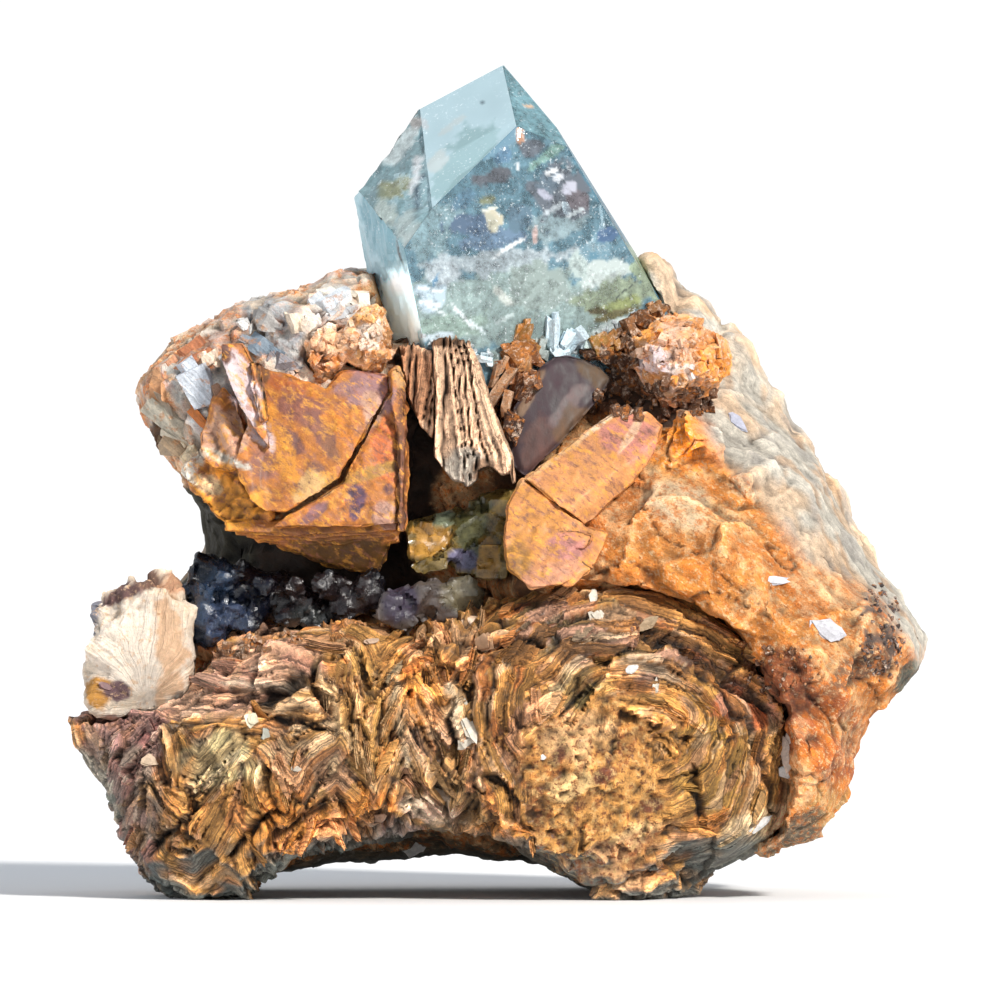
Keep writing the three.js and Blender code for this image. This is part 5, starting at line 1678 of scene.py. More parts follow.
all_front = front_finder(mass, slope, tan_book, disc, *knobs)
dark_places = crumbs(110, (15.6, 49.0), (6.5, 1.9), 0.9, all_front)
dark_places += crumbs(60, (12.6, 53.0), (1.4, 2.4), 0.8, all_front)
dark_places += crumbs(110, (37.8, 26.2), (2.2, 4.8), 0.4, all_front)
dark_places += crumbs(70, (27.5, 22.5), (4.5, 2.6), 0.4, all_front)
dark_places += crumbs(50, (-25, 25.5), (5.5, 1.6), 0.8, all_front)
debris, debris_owner = strewn("dark_debris", dark_places)
DEBRIS_PATCHES = [(38, 25.6, 4, 6, 0, (88, 76, 74)), (-25, 25.5, 8, 4, 0, (150, 110, 76))]
dress_strewn(debris, debris_owner, RUSTY_KNOB,
             lambda points: patched(points, tone(104, 68, 42), DEBRIS_PATCHES, 180), 0.5, 61)

right_knob, left_knobs = front_finder(knobs[1]), front_finder(knobs[0])
knob_places = crumbs(70, (17.0, 54.4), (3.6, 3.8), 0.8, right_knob)
knob_places += crumbs(16, (21.2, 52.6), (1.6, 1.6), 0.9, right_knob)
knob_places += crumbs(34, (-12.6, 55.4), (2.2, 2.8), 0.8, left_knobs)
knob_places += crumbs(34, (-17.2, 54.6), (2.3, 2.6), 0.8, left_knobs)
crystals, crystal_owner = strewn("knob_crystals", knob_places)
dress_strewn(crystals, crystal_owner, RUSTY_KNOB, knob_colour, 0.2, 62)

# %% Crystals of the left shoulder
SHOULDER_CRYSTALS = [  # x, z, width, height, turn in degrees, colour
    (-32.2, 47.0, 2.4, 7.0, 44, (206, 196, 176)), (-29.0, 50.2, 3.8, 5.4, 30, (196, 202, 210)),
    (-29.4, 47.2, 1.2, 3.4, 40, (204, 116, 44)), (-30.4, 44.0, 2.8, 3.0, 20, (240, 222, 190)),
    (-32.4, 44.6, 2.4, 2.0, -40, (176, 150, 120)), (-16.7, 58.3, 4.6, 2.2, 24, (222, 228, 234)),
    (-13.6, 59.0, 2.2, 2.0, 10, (244, 232, 214)), (-22.8, 57.0, 2.8, 2.2, -20, (176, 172, 168)),
    (-20.2, 56.8, 1.8, 2.0, 10, (236, 218, 196)), (-25.0, 56.6, 1.4, 1.4, 30, WHITE),
    (-23.4, 54.4, 3.4, 2.0, -28, (132, 148, 162)), (-21.4, 52.8, 3.0, 1.9, -36, (150, 146, 150)),
    (-28.4, 53.2, 2.2, 1.7, 20, (238, 214, 190)), (-26.6, 52.4, 1.5, 2.6, 30, (186, 182, 180)),
    (-30.8, 54.0, 4.2, 1.4, 36, (176, 108, 70)), (-31.4, 52.4, 3.6, 1.6, 34, (196, 138, 104)),
    (-27.4, 48.6, 1.3, 4.6, 24, (206, 166, 138)), (-33.6, 50.6, 1.8, 2.8, -20, (206, 152, 108)),
]
def leaning_grain(wide, tall, turn, deep, skew):
    """A grain and its three axes, leaning near an angle in degrees. `skew` is in mm."""
    angle = math.radians(turn)
    side, up = (math.cos(angle), 0, math.sin(angle)), (-math.sin(angle), 0, math.cos(angle))
    sizes = 1.15 * np.array([wide, deep * min(wide, tall), tall])
    axes = np.array([side, (0, 1, 0), up]) * sizes[:, None] + DICE.normal(0, skew, (3, 3))
    return any_of(GRAINS), axes


shoulder_finder = front_finder(slope, body)
shoulder_places, shoulder_tints = [], []
for x, z, wide, tall, turn, tint in SHOULDER_CRYSTALS:
    for dx, dz, size in ((0, 0, 1.0), (0.32, -0.24, 0.6), (-0.34, 0.28, 0.5)):
        hit = shoulder_finder(x + dx * wide, z + dz * tall)
        if hit is not None:
            turned = turn + DICE.normal(0, 7)
            grain = leaning_grain(size * wide, size * tall, turned, 1.1, 0.12 * min(wide, tall))
            shoulder_places.append((*grain, hit[0] + [0, 0.12 * wide, 0]))
            shoulder_tints.append(tone(*tint) * DICE.uniform(1.0, 1.3))
shoulder, shoulder_owner = strewn("shoulder_crystals", shoulder_places)
dress(shoulder, GREY_CRYSTAL, np.array(shoulder_tints)[shoulder_owner])
remember(shoulder, "layer", points_of(shoulder) @ [0.7, 0.2, 0.7])
print("crumbs:", len(dark_places), len(knob_places), "shoulder crystals:", len(shoulder_places))

# %% [markdown]
# ## The topaz
#
# The crystal is the point of the whole specimen. Its clean faces are flat and its edges sharp; the
# left faces are etched and rough. The shell is a copy of the CAD crystal with its large faces
# restored, a hairline bevel along the clean edges, and the rough faces cut into small cells that
# are dented. It is one closed body of real glass: transmission, the index of topaz, and a pale blue
# absorption that deepens with thickness. Each face keeps a number, so that it can be found again
# after the cuts.

# %% The crystal's shell
DOME, FRONT = (-0.347, -0.664, 0.662), (0.351, -0.933, 0.084)
LEFT_DOME, LEFT_SIDE = (-0.529, -0.614, 0.586), (-0.924, -0.329, -0.194)
RIGHT_DOME, RIGHT_SIDE, TIP_RIGHT = (0.467, -0.539, 0.701), (0.859, -0.072, 0.507), (0.797, 0.119, 0.593)
LEFT_BACK, LEFT_SLIP = (-0.783, 0.622, 0.0), (-0.809, 0.100, 0.579)
ROUGH_FACES = [LEFT_DOME, LEFT_SIDE, LEFT_BACK, LEFT_SLIP]


def faces_this_way(way, direction):
    return Vector(way).dot(Vector(direction).normalized()) > 0.9985


shell = bmesh_of("topaz_crystal")
bmesh.ops.dissolve_limit(shell, angle_limit=math.radians(0.5), verts=shell.verts, edges=shell.edges)
crystal_sides = [
    (on_drawing(face.calc_center_median()), np.array(face.normal))
    for face in shell.faces if face.calc_area() > MM * MM
]
side_number = shell.faces.layers.int.new("side")
for face in shell.faces:
    matches = [k for k, (_, way) in enumerate(crystal_sides) if faces_this_way(way, face.normal)]
    face[side_number] = matches[0] if matches else -1
rough_sides = {
    k for k, (_, way) in enumerate(crystal_sides) if any(faces_this_way(way, rough) for rough in ROUGH_FACES)
}
print("sides of the crystal:", len(crystal_sides), "rough ones:", len(rough_sides))
clean_edges = [
    edge for edge in shell.edges if not any(face[side_number] in rough_sides for face in edge.link_faces)
]
bmesh.ops.bevel(
    shell, geom=clean_edges, offset=0.06 * MM, segments=1, profile=0.5, affect="EDGES", material=-1
)
low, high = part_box("topaz_crystal")


def cut_in_cells(mesh, faces_of, step):
    """Cuts faces into a grid of cells by level and upright planes. faces_of lists them each time."""
    for axis in (2, 0, 1):
        way = Vector([float(k == axis) for k in range(3)])
        for level in np.arange(low[axis] + 0.3 * MM, high[axis], step * MM):
            faces = faces_of(mesh)
            geometry = list({part for face in faces for part in (*face.verts, *face.edges)}) + faces
            bmesh.ops.bisect_plane(mesh, geom=geometry, plane_co=way * level, plane_no=way)


cut_in_cells(shell, lambda mesh: [face for face in mesh.faces if face[side_number] in rough_sides], 0.6)
inner = [
    vert for vert in shell.verts
    if vert.link_faces and all(face[side_number] in rough_sides for face in vert.link_faces)
]
where = on_drawing([vert.co for vert in inner])
dent = 0.7 * blocks(where / np.array([1, 1, 1.6]), 3.4, 190) + 0.12 * clouds(where, 0.9, 191, 2) - 0.75
ways = [vert.normal.copy() for vert in inner]
for vert, way, depth in zip(inner, ways, np.minimum(dent, 0.0)):
    vert.co += way * float(depth) * MM
shell.normal_update()
shell_copy = shell.copy()
topaz = as_piece(shell, "topaz_crystal_shell")
print("shell faces:", len(topaz.data.polygons))


# %% Topaz glass
def topaz_glass():
    material, tree, shader, where = new_finish("topaz")
    etching = noise(tree, drawn_out(tree, where, (1, 1, 0.4)), 1.6, 5, 0.6)
    fill(tree, shader, {
        "Base Color": (0.97, 0.99, 1.0, 1),
        "Transmission Weight": 1.0,
        "IOR": 1.62,
        "Roughness": 0.0,
        "Normal": bumped(tree, etching, 0.02),
    })
    depth = put(tree, "VolumeAbsorption", {"Color": (0.52, 0.80, 0.88, 1), "Density": 50.0})[0]
    fill(tree, tree.nodes["Material Output"], {"Volume": depth})
    return material


topaz.data.materials.append(topaz_glass())

# %% [markdown]
# Inside it isn't empty. Healed cracks are strewn with tiny mirror-like flakes, and the lower half
# is milky. The flakes lie on curved sheets, and the milk is a stack of thin wavy veils whose cover
# comes and goes.

# %% Healed cracks
def inside(points, margin):
    """Which points lie inside the crystal, at least `margin` mm from every face."""
    keep = np.ones(len(points), bool)
    for point, normal in crystal_sides:
        keep &= (points - point) @ normal < -margin
    return keep


CRACKS = [  # middle, two half axes of the sheet, number of flakes, size of a flake
    ((1.0, -3.5, 71.5), (8.5, 1.0, -2.0), (1.0, 0.5, 5.0), 900, 0.20),
    ((6.5, -1.0, 70.0), (4.0, 1.5, -3.0), (2.0, 1.5, 4.5), 600, 0.22),
    ((-4.0, -6.0, 64.0), (5.5, 2.0, -1.0), (0.5, 1.0, 4.0), 700, 0.18),
    ((3.0, -2.0, 62.0), (9.0, 2.0, -4.0), (1.0, 3.0, 5.0), 900, 0.20),
    ((-2.0, -5.2, 56.0), (7.5, 2.0, 0.0), (1.0, 0.5, 3.4), 600, 0.26),
    ((7.5, 0.0, 59.0), (6.0, 2.4, -2.0), (0.5, 1.5, 4.0), 500, 0.22),
    ((-9.5, -3.0, 67.0), (2.0, 3.0, 0.5), (0.5, 0.5, 6.0), 350, 0.20),
]
FLECKS = [torn_leaf(corners) for corners in (4, 4, 5)]
sparkle_places = []
for middle, half_u, half_v, count, size in CRACKS:
    across = np.cross(unit(half_u), unit(half_v))
    for u, v in DICE.uniform(-1, 1, (count, 2)):
        spot = np.array(middle) + u * np.array(half_u) + v * np.array(half_v)
        spot = spot + across * (0.8 * math.sin(2.6 * u) * math.cos(2.1 * v) + DICE.normal(0, 0.12))
        if clouds(spot[None], 2.2, 200, 2)[0] < 0.0 or not inside(spot[None], 0.35)[0]:
            continue
        normal = unit(across + DICE.normal(0, 0.45, 3))
        along = unit(np.cross(normal, DICE.normal(size=3)))
        wide = size * DICE.uniform(0.4, 1.5) * (1 if DICE.random() < 0.92 else 2.2)
        axes = wide * np.array([along, np.cross(normal, along), 0.3 * normal])
        sparkle_places.append((any_of(FLECKS), axes, spot))
sparkles, _ = strewn("healed_cracks", sparkle_places)


def mirror_flake():
    material, tree, shader, _ = new_finish("crack_mirror")
    fill(tree, shader, {"Base Color": (0.96, 0.98, 1.0, 1), "Roughness": 0.3})
    return material


sparkles.data.materials.append(mirror_flake())
print("sparkles:", len(sparkle_places))

# %% Milky veils
VEILS = 9


def veil_sheet(number):
    """One wavy sheet across the crystal's lower half, trimmed to its inside."""
    mesh = bmesh.new()
    bmesh.ops.create_grid(mesh, x_segments=70, y_segments=60, size=17 * MM)
    bmesh.ops.rotate(mesh, matrix=Matrix.Rotation(math.radians(90), 3, "X"), verts=mesh.verts)
    depth = -6.5 + 15.5 * number / (VEILS - 1)
    bmesh.ops.translate(mesh, vec=Vector(in_scene([2, depth, 61])), verts=mesh.verts)
    where = on_drawing([vert.co for vert in mesh.verts])
    wave = 1.0 * clouds(where, 5, 210 + number, 3) + 0.38 * (where[:, 0] - 2)
    for vert, shift in zip(mesh.verts, wave):
        vert.co.y += float(shift) * MM
    for point, normal in crystal_sides:
        slice_off(mesh, in_scene(point - 0.4 * normal), normal, close=False)
    return as_piece(mesh, "veil")


veils = one_piece("milky_veils", [veil_sheet(number) for number in range(VEILS)])
points = points_of(veils)
milk = eased(points[:, 2] + 3.0 * clouds(points, 5, 220, 2) + 0.35 * points[:, 0], 74, 60)
milk *= 0.2 + 0.45 * eased(clouds(points, 3.5, 221, 3), -0.4, 0.5)
remember(veils, "cover", milk)
VEIL_PATCHES = [
    (10, 57.5, 4.5, 2.6, 10, (190, 196, 130)), (3, 54, 4, 2, 0, (236, 204, 160)),
    (-6, 62, 4, 5, 0, (222, 238, 244)),
]


def milky():
    material, tree, shader, where = new_finish("milk")
    wisps = ranged(tree, noise(tree, where, 0.9, 5, 0.65), 0.4, 0.75, 0.0, 0.55)
    fill(tree, shader, {
        "Alpha": times(tree, written(tree, "cover"), wisps),
        "Base Color": written(tree, "paint", "Color"),
        "Roughness": 0.8,
    })
    return material


dress(veils, milky(), patched(points, tone(232, 240, 234), VEIL_PATCHES, 222))

# %% [markdown]
# Natural faces are never clean glass. Fine etching, dust and cracks just under the face make a
# film on it, thick here and thin there, and this film gives each face its own tint. It also carries
# painted light: the sky's reflection on the dome, dark reflections and bright glints on the front,
# white flecks that stand in for sparkle, and on the shaded left side the sunlight that comes through
# the crystal. It is a sheet a fiftieth of a millimetre above the face, cut into small cells, and
# every cell has a colour and a cover: 0 is clear and 1 is opaque. The colours are given as they are
# to look, so they are darkened where the sun falls and lightened in the shade.

# %% Films on the faces
# The own colour of a film, as a share of how it is to look there.
IN_THE_SUN, IN_THE_SHADE, IN_DEEP_SHADE = 0.66, 1.5, 2.1


def film_colour(red, green, blue, cover, light=IN_THE_SUN):
    """The own colour of a film that is to look like this, and how much it covers."""
    return np.array([*tone(red, green, blue, light), cover])


FILM_LIFT = 0.02


def film(way, ground, patches, seed, fray=0.3, step=0.35, calm=0.0):
    """A film on one side of the crystal, with patches seen from the front.

    Calm ones are even, and so is every place whose cover is above 1.
    """
    number = next(k for k, (_, normal) in enumerate(crystal_sides) if faces_this_way(normal, way))
    mesh = shell_copy.copy()
    layer = mesh.faces.layers.int["side"]
    others = [face for face in mesh.faces if face[layer] != number]
    bmesh.ops.delete(mesh, geom=others, context="FACES")
    bmesh.ops.translate(mesh, vec=Vector(crystal_sides[number][1]) * FILM_LIFT * MM, verts=mesh.verts)
    if number not in rough_sides:
        cut_in_cells(mesh, lambda sheet: sheet.faces[:], step)
    piece = as_piece(mesh, "film")
    points = points_of(piece)
    look = patched(points, film_colour(*ground), patches, seed, fray, 0.1, 1.1, film_colour)
    look[:, 3] *= 1 + (0.35 - 0.3 * calm) * clouds(points, 2.4, seed + 1, 3)
    remember(piece, "paint", look[:, :3])
    remember(piece, "cover", np.clip(look[:, 3], 0, 1))
    remember(piece, "calm", np.where(look[:, 3] > 1, 1.0, calm))
    return piece


# Painted light on the front: the dark blue patches are painted reflections, and the thin white streaks are
# painted glints.
FRONT_PATCHES = [
    (-6.4, 66.0, 3.4, 2.2, 40, (150, 184, 194, 0.7)), (5.6, 66.6, 3.4, 1.6, 20, (160, 186, 194, 0.7)),
    (1.0, 58.6, 14, 4.6, 0, (164, 188, 186, 0.75)), (-0.5, 62.9, 7.4, 1.2, 6, (192, 208, 216, 0.75)),
    (-5.0, 61.6, 2.4, 1.1, 10, (204, 218, 226, 0.8)), (4.1, 60.3, 3.4, 2.6, -10, (160, 178, 174, 0.8)),
    (0.4, 59.6, 1.4, 0.5, -50, (214, 222, 216, 0.85)), (10.3, 61.8, 2.5, 1.5, 20, (206, 220, 218, 0.88)),
    (8.0, 62.4, 0.9, 1.4, 0, (196, 214, 212, 0.8)), (15.0, 61.0, 0.9, 2.4, 32, (172, 192, 160, 0.7)),
    (12.0, 59.6, 4.2, 1.6, 14, (178, 196, 168, 0.6)), (12.4, 58.9, 2.4, 0.6, 16, (160, 172, 112, 0.8)),
    (12.0, 57.9, 2.2, 0.4, 18, (112, 106, 64, 0.9)), (9.9, 58.1, 0.9, 0.35, 0, (92, 84, 52, 0.9)),
    (11.7, 56.6, 3.4, 0.6, 22, (222, 238, 238, 0.9)), (12.8, 60.3, 1.7, 0.09, 40, (56, 66, 62, 0.95)),
    (-6.6, 59.4, 1.7, 1.7, 10, (200, 222, 236, 0.85)), (-6.9, 58.8, 1.5, 0.22, -14, (246, 252, 254, 0.97)),
    (-6.5, 60.1, 1.2, 0.18, -10, (246, 252, 254, 0.97)),
    (-5.6, 57.9, 1.6, 0.16, -24, (240, 250, 254, 0.97)), (-6.2, 61.0, 0.9, 0.2, 60, (110, 160, 196, 0.85)),
    (-4.7, 56.4, 3.2, 1.4, 10, (164, 190, 180, 0.8)), (-3.6, 57.6, 1.9, 0.2, -50, (236, 246, 250, 0.95)),
    (-2.2, 56.6, 1.2, 0.16, -40, (230, 244, 250, 0.95)), (-6.2, 55.4, 1.8, 0.4, 8, (222, 240, 250, 0.9)),
    (0.8, 57.4, 1.3, 0.2, 30, (214, 232, 232, 0.9)), (-0.5, 65.2, 4.4, 1.0, 8, (112, 142, 170, 0.8)),
    (-3.0, 66.5, 2.4, 1.1, 14, (84, 110, 138, 0.88)), (2.0, 67.4, 1.3, 1.5, 0, (96, 128, 148, 0.85)),
    (-0.3, 71.5, 2.3, 0.9, 20, (92, 98, 108, 0.9)), (-3.2, 69.2, 1.4, 0.8, 36, (98, 138, 162, 0.8)),
    (0.7, 75.1, 3.0, 0.8, 41, (112, 154, 176, 2.0)), (0.6, 73.5, 1.1, 0.8, 40, (100, 142, 172, 0.85)),
    (3.3, 74.3, 1.3, 0.9, 10, (108, 118, 130, 0.9)), (5.0, 73.7, 2.4, 0.5, 38, (146, 188, 180, 0.8)),
    (6.4, 70.2, 2.9, 3.1, -30, (100, 110, 122, 0.9)), (5.0, 71.0, 1.0, 1.6, 0, (106, 126, 142, 0.9)),
    (8.0, 69.2, 1.3, 0.9, 0, (112, 106, 114, 0.9)), (6.0, 71.4, 0.5, 0.3, 30, (228, 234, 242, 0.95)),
    (6.9, 72.4, 0.8, 0.14, -40, (220, 230, 238, 0.95)), (7.6, 67.9, 1.1, 0.16, 30, (214, 226, 232, 0.95)),
    (7.2, 70.6, 0.9, 0.5, 40, (202, 204, 220, 0.92)), (5.3, 72.0, 0.7, 0.22, 20, (240, 244, 248, 0.95)),
    (4.8, 69.6, 0.8, 0.4, -30, (186, 190, 208, 0.9)), (5.6, 68.3, 1.2, 0.3, 30, (204, 216, 224, 0.9)),
    (-1.1, 69.1, 1.1, 0.5, 20, (134, 142, 112, 0.8)), (-0.3, 67.4, 1.0, 0.6, -30, (214, 208, 184, 0.97)),
    (-0.6, 66.8, 0.5, 0.9, 20, (198, 196, 176, 0.97)), (-0.5, 68.3, 1.0, 0.14, 14, (240, 242, 230, 0.95)),
    (2.2, 75.5, 0.42, 0.9, 0, (222, 168, 136, 0.97)), (1.9, 72.4, 0.22, 0.6, 0, (240, 246, 250, 0.95)),
    (3.7, 65.6, 0.28, 0.9, 0, (224, 196, 190, 0.95)), (1.4, 64.6, 1.9, 0.22, 30, (244, 250, 254, 0.95)),
    (0.4, 63.9, 1.4, 0.16, 36, (240, 248, 252, 0.95)), (10.7, 65.8, 1.0, 0.9, 10, (70, 106, 146, 0.88)),
    (9.6, 63.6, 0.5, 0.4, 0, (96, 146, 168, 0.85)), (10.1, 69.6, 6.0, 0.36, -57, (78, 128, 150, 0.85)),
]
DOME_PATCHES = [
    (-3.4, 72.4, 4.4, 2.8, 50, (166, 200, 206, 0.85)), (-5.9, 73.0, 1.5, 0.9, 50, (210, 224, 226, 0.9)),
    (-1.5, 79.1, 0.28, 0.2, 0, (110, 130, 140, 0.9)), (-4.7, 76.6, 1.5, 0.3, 38, (206, 222, 226, 0.9)),
    (-7.4, 77.0, 0.9, 0.35, -60, (208, 220, 226, 0.9)), (2.6, 74.6, 1.9, 0.6, 62, (204, 218, 226, 0.9)),
]
LEFT_PATCHES = [
    (-9.7, 74.7, 2.2, 0.8, 55, (212, 226, 228, 0.85)), (-8.4, 77.2, 0.8, 0.5, 0, (192, 190, 188, 0.8)),
    (-10.0, 70.6, 1.6, 0.9, 20, (160, 166, 134, 0.85)), (-8.2, 72.0, 0.45, 2.0, -8, (234, 240, 244, 0.9)),
    (-8.0, 69.6, 0.3, 2.2, -8, (70, 96, 112, 0.85)), (-9.0, 66.4, 1.4, 1.2, 20, (184, 202, 202, 0.85)),
    (-8.4, 65.0, 1.0, 0.8, 0, (196, 212, 212, 0.85)), (-11.4, 68.0, 1.5, 1.2, 0, (190, 206, 202, 0.8)),
]
# On the shaded left side the lower film is painted light: lighter than white, in place of the sunlight that
# comes through the crystal.
LEFT_SIDE_PATCHES = [
    (-11.4, 66.0, 1.9, 4.0, 20, (104, 144, 156, 0.9, IN_THE_SHADE)),
    (-9.7, 63.4, 0.10, 1.7, 12, (50, 56, 60, 0.95)),
    (-9.7, 58.6, 2.4, 4.0, 10, (206, 232, 240, 1.0, IN_DEEP_SHADE)),
    (-9.9, 60.8, 0.8, 1.0, 0, (222, 226, 228, 1.0, IN_DEEP_SHADE)),
    (-9.4, 56.2, 2.0, 2.0, 12, (222, 244, 250, 1.0, IN_DEEP_SHADE)),
]
films = one_piece("crystal_films", [
    film(FRONT, (110, 152, 170, 0.7), FRONT_PATCHES, 240, 0.4, step=0.26),
    # The dome's pale, even film is partly haze and partly a painted reflection of the sky.
    film(DOME, (192, 220, 230, 0.94), DOME_PATCHES, 250, 0.3, calm=1.0),
    film(LEFT_DOME, (150, 184, 192, 0.8), LEFT_PATCHES, 260, 0.45, calm=0.3),
    film(LEFT_SIDE, (150, 178, 186, 0.9, IN_THE_SHADE), LEFT_SIDE_PATCHES, 270, 0.3, calm=0.8),
    film(RIGHT_DOME, (124, 170, 182, 0.75), [(3.1, 78.6, 0.45, 0.2, 0, (226, 190, 160, 0.95))], 280),
    film(RIGHT_SIDE, (64, 122, 146, 0.85), [(12.5, 62, 4, 3, 0, (146, 172, 138, 0.8))], 281),
    film(TIP_RIGHT, (100, 150, 165, 0.7), [], 282),
    film(LEFT_BACK, (170, 190, 190, 0.4), [], 283, step=0.6),
    film(LEFT_SLIP, (170, 190, 190, 0.5), [], 284, step=0.6),
])
for face in films.data.polygons:
    face.use_smooth = False


def frost_and_painted_light():
    """Etching and haze, the film's painted reflections and glints, and fine white flecks that are
    painted sparkle; the thinner it is, the more of the glass shows.
    """
    material, tree, shader, where = new_finish("frost_and_painted_light")
    calm, cover = written(tree, "calm"), written(tree, "cover")
    wisps = ranged(tree, noise(tree, where, 1.0, 6, 0.75), 0.34, 0.66, 0.5, 1.4)
    # White flecks, gathered in places: painted sparkle.
    flecks = ranged(tree, noise(tree, where, 0.28, 3, 0.6), 0.6, 0.65, 0.0, 0.9)
    gather = ranged(tree, noise(tree, where, 2.4, 3), 0.44, 0.56, ranged(tree, calm, 0, 1, 0.12, 0.0), 1.0)
    flecks = times(tree, times(tree, flecks, gather), ranged(tree, cover, 0.4, 0.9, 1.0, 0.5))
    cover = times(tree, cover, mixed(tree, calm, wisps, (1, 1, 1, 1)))
    shade = ranged(tree, noise(tree, where, 0.7, 6, 0.75), 0.3, 0.7, 0.72, 1.3)
    shade = mixed(tree, calm, shade, (1, 1, 1, 1))
    colour = scaled(tree, written(tree, "paint", "Color"), shade)
    fill(tree, shader, {
        "Alpha": joined(tree, "MINIMUM", joined(tree, "MAXIMUM", cover, flecks), 1.0),
        "Base Color": mixed(tree, flecks, colour, (0.8, 0.86, 0.9, 1)),
        "Roughness": 0.35,
    })
    return material


films.data.materials.append(frost_and_painted_light())
print("film cells:", len(films.data.polygons))

# %% [markdown]
# Where the crystal leaves the rock, its foot is hidden by what grew round it: a tall white crystal,
# an amber lump, a cream and red blade beside the ridged book, and a dark brown rubble on the right.
# The large ones are placed one by one, the rubble is strewn.

# %% At the crystal's foot
FOOT = [(-8.0, 54.9), (-4.3, 54.6), (-0.8, 53.0), (4.2, 53.8), (8.2, 54.2), (11.4, 56.2), (17.0, 59.2)]
foot_finder = front_finder(topaz)
AMBER, DARK_RUBBLE, ICE = (206, 142, 66), (92, 60, 38), (214, 232, 240, 1.25)
FOOT_CRYSTALS = [  # x, z, width, height, turn in degrees, how far it stands out, colour
    (2.6, 55.2, 1.9, 3.6, -14, 0.2, AMBER), (1.7, 53.9, 2.2, 2.0, 20, 0.4, (190, 116, 44)),
    (3.4, 53.6, 1.6, 2.0, 30, 0.5, (150, 92, 48)), (2.4, 52.4, 2.4, 1.8, 0, 0.8, (224, 160, 100)),
    (0.7, 52.4, 1.7, 1.5, 10, 0.6, (196, 124, 72)), (3.4, 51.2, 1.6, 1.6, 20, 0.9, (140, 88, 50)),
    (-1.5, 53.2, 2.2, 1.2, -10, 0.2, ICE), (-0.2, 52.7, 1.2, 1.0, 0, 0.3, (210, 216, 204)),
    (0.3, 50.4, 1.6, 5.4, -9, 1.2, (220, 172, 132)), (1.2, 48.6, 1.0, 4.4, -14, 1.0, (128, 60, 44)),
    (-0.2, 48.4, 0.9, 3.8, -10, 0.8, (96, 48, 36)), (1.9, 50.6, 1.2, 3.0, -14, 0.9, (176, 108, 58)),
    (1.4, 46.4, 1.2, 3.2, -10, 0.4, (70, 40, 28)), (2.6, 50.2, 1.4, 2.6, -24, 0.6, (110, 68, 44)),
    (5.5, 55.4, 1.4, 4.4, 5, 0.3, ICE), (4.3, 54.3, 1.1, 2.2, -10, 0.3, (206, 220, 216)),
    (6.9, 54.9, 1.3, 2.6, -28, 0.4, ICE), (7.9, 55.3, 1.6, 1.8, 35, 0.3, ICE),
    (8.9, 54.9, 1.2, 1.5, 0, 0.3, (210, 228, 226)), (6.2, 53.9, 1.6, 0.9, 0, 0.4, ICE),
    (9.9, 54.6, 2.7, 1.7, 14, 0.5, (204, 154, 80)), (11.2, 55.2, 1.8, 1.5, 30, 0.5, (180, 128, 66)),
    (9.2, 53.8, 1.8, 0.9, -24, 0.6, DARK_RUBBLE), (11.0, 53.5, 2.6, 1.3, -32, 0.8, DARK_RUBBLE),
    (12.5, 55.0, 2.2, 1.7, 35, 0.7, (124, 82, 46)), (13.3, 56.4, 1.8, 2.2, 30, 0.6, (150, 100, 58)),
    (14.5, 57.4, 2.0, 1.6, 35, 0.5, (128, 84, 50)), (15.8, 58.5, 1.8, 1.2, 30, 0.4, (170, 118, 70)),
    (12.6, 53.0, 2.4, 1.4, -40, 0.9, (110, 70, 42)), (12.2, 51.6, 2.6, 1.1, -35, 1.0, DARK_RUBBLE),
    (13.6, 51.0, 2.2, 1.2, -30, 0.8, (120, 78, 48)), (13.4, 54.2, 1.6, 2.4, 20, 0.7, DARK_RUBBLE),
]
foot_places, foot_tints = [], []
bank_finder = front_finder(topaz, mass, slope, disc)
for x, z, wide, tall, turn, out, tint in FOOT_CRYSTALS:
    hit = bank_finder(x, z) or bank_finder(x, z + 1.5)
    for dx, dz, size in ((0, 0, 1.0), (0.34, -0.3, 0.55), (-0.36, 0.22, 0.5), (0.1, 0.4, 0.4)):
        turned, skew = turn + DICE.normal(0, 8), 0.23 * size * min(wide, tall)
        spot = (x + dx * wide, hit[0][1] - out - 0.2 * size, z + dz * tall)
        foot_places.append((*leaning_grain(size * wide, size * tall, turned, 1.2, skew), spot))
        foot_tints.append(tone(*tint) * DICE.uniform(0.65, 1.1))
for _ in range(60):
    x = DICE.uniform(-8.5, 16)
    z = np.interp(x, *zip(*FOOT)) + DICE.normal(0.2, 0.35)
    hit = foot_finder(x, z)
    if hit is not None:
        foot_places.append((*tumbled_grain(0.5 * DICE.uniform(0.6, 1.4, 3)), hit[0]))
        foot_tints.append(tone(226, 236, 240) * DICE.uniform(0.4, 1.05))
foot, foot_owner = strewn("foot_crystals", foot_places)
paint = np.array(foot_tints)[foot_owner]
dress(foot, RUSTY_KNOB, paint)
remember(foot, "layer", points_of(foot) @ [0.8, 0.2, 0.1])
remember(foot, "plain", paint[:, 2] > 0.8 * paint[:, 0])

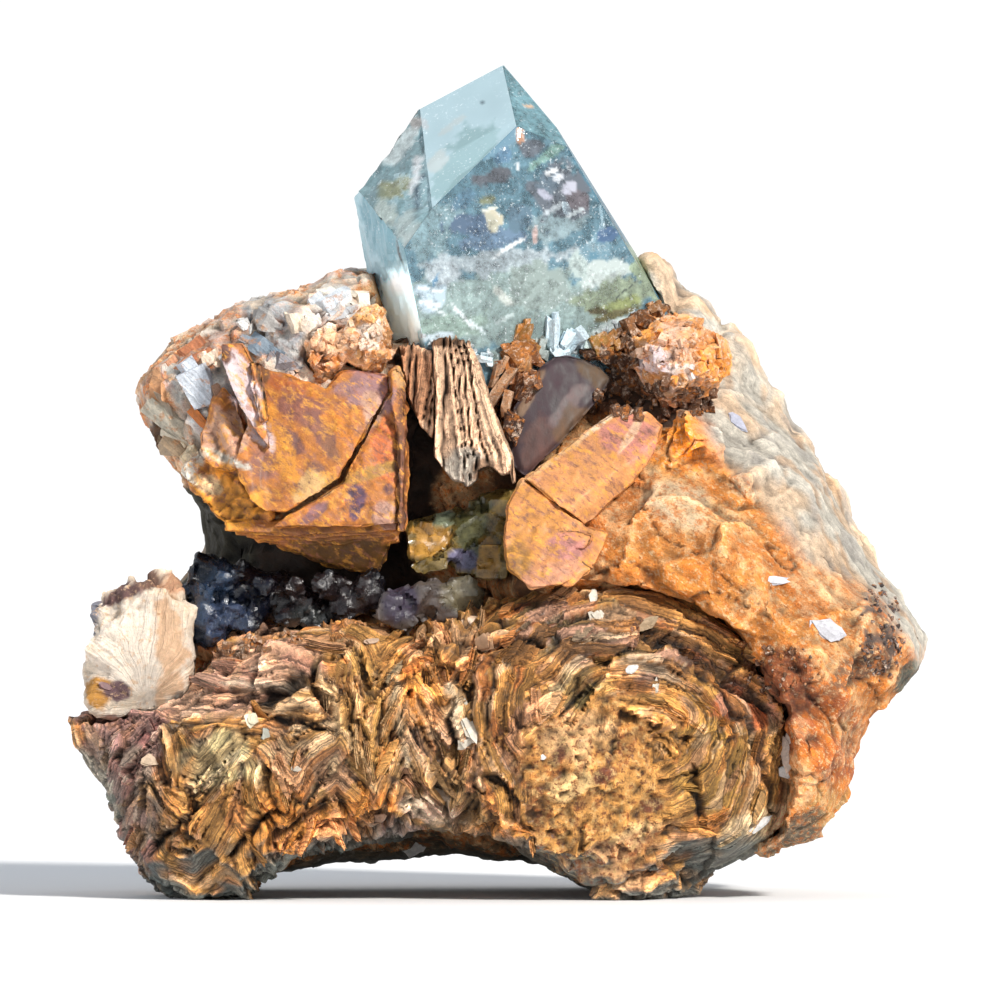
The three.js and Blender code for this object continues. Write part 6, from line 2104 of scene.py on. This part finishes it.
rubble_places = []
for _ in range(260):
    x = DICE.uniform(8.6, 17.0)
    z = np.interp(x, *zip(*FOOT)) - 0.4 - 5.5 * DICE.random() ** 1.2
    hit = bank_finder(x, z)
    if hit is not None and (x >= 11.4 or z >= 53.4):
        sizes = DICE.uniform(0.3, 1.0) * DICE.uniform(0.5, 1.5, 3)
        rubble_places.append((*tumbled_grain(sizes), hit[0]))
rubble, rubble_owner = strewn("brown_rubble", rubble_places)
RUBBLE_PATCHES = [(14.0, 56.6, 2.4, 1.0, 30, (176, 120, 70)), (12.0, 51.0, 4.0, 1.8, 0, (70, 46, 30))]
dress_strewn(rubble, rubble_owner, RUSTY_KNOB,
             lambda points: patched(points, tone(112, 72, 44), RUBBLE_PATCHES, 231, 0.3), 0.5, 64)
print("foot crystals:", len(foot_places), "rubble:", len(rubble_places))

# %% [markdown]
# ## Putting it together
#
# The specimen has no joints, so every piece rides on the one body. A piece that dresses a CAD node
# replaces it, and the node is hidden. Each row also lists a finish name, which the loop doesn't use.

# %% Ride and replace
DRESSED = [
    (slope, "stained_feldspar", ["feldspar_matrix"]),
    (body, "stained_feldspar", ["feldspar_matrix"]),
    (mass, "brown_mica", ["mica_mass"]),
    (leaves, "brown_mica", []),
    (book, "rusty_mica", ["mica_book_large"]),
    (ridged, "tan_mica", ["mica_book_ridged"]),
    (tan_book, "tan_mica", ["mica_book_tan"]),
    (disc, "purple_mica", ["mica_disc_purple"]),
    (olive, "olive_mica", ["mica_leaves_olive"]),
    (fan, "cream_feldspar", ["feldspar_fan"]),
    (knobs[0], "rusty_feldspar", ["feldspar_knobs_left"]),
    (knobs[1], "rusty_feldspar", ["feldspar_knob_right"]),
    (smoky, "smoky_quartz", ["quartz_smoky"]),
    (grey, "grey_quartz", ["quartz_grey"]),
    (flakes, "stained_feldspar", []),
    (debris, "rusty_feldspar", []),
    (crystals, "rusty_feldspar", []),
    (shoulder, "stained_feldspar", []),
    (topaz, "topaz", ["topaz_crystal"]),
    (sparkles, "topaz", []),
    (veils, "topaz", []),
    (films, "topaz", []),
    (foot, "stained_feldspar", []),
    (rubble, "rusty_feldspar", []),
]
for piece, finish, nodes in DRESSED:
    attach(piece, "root")
    if nodes:
        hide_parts(*nodes)
triangles = {
    piece.name: sum(len(face.vertices) - 2 for face in piece.data.polygons) for piece, _, _ in DRESSED
}
print("pieces:", len(DRESSED), "triangles:", sum(triangles.values()), triangles)

# %% The two boxes, and the end
boxes = {"cad": cad_box, "visual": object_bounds()}
{name: [list(corner) for corner in box] for name, box in boxes.items()}
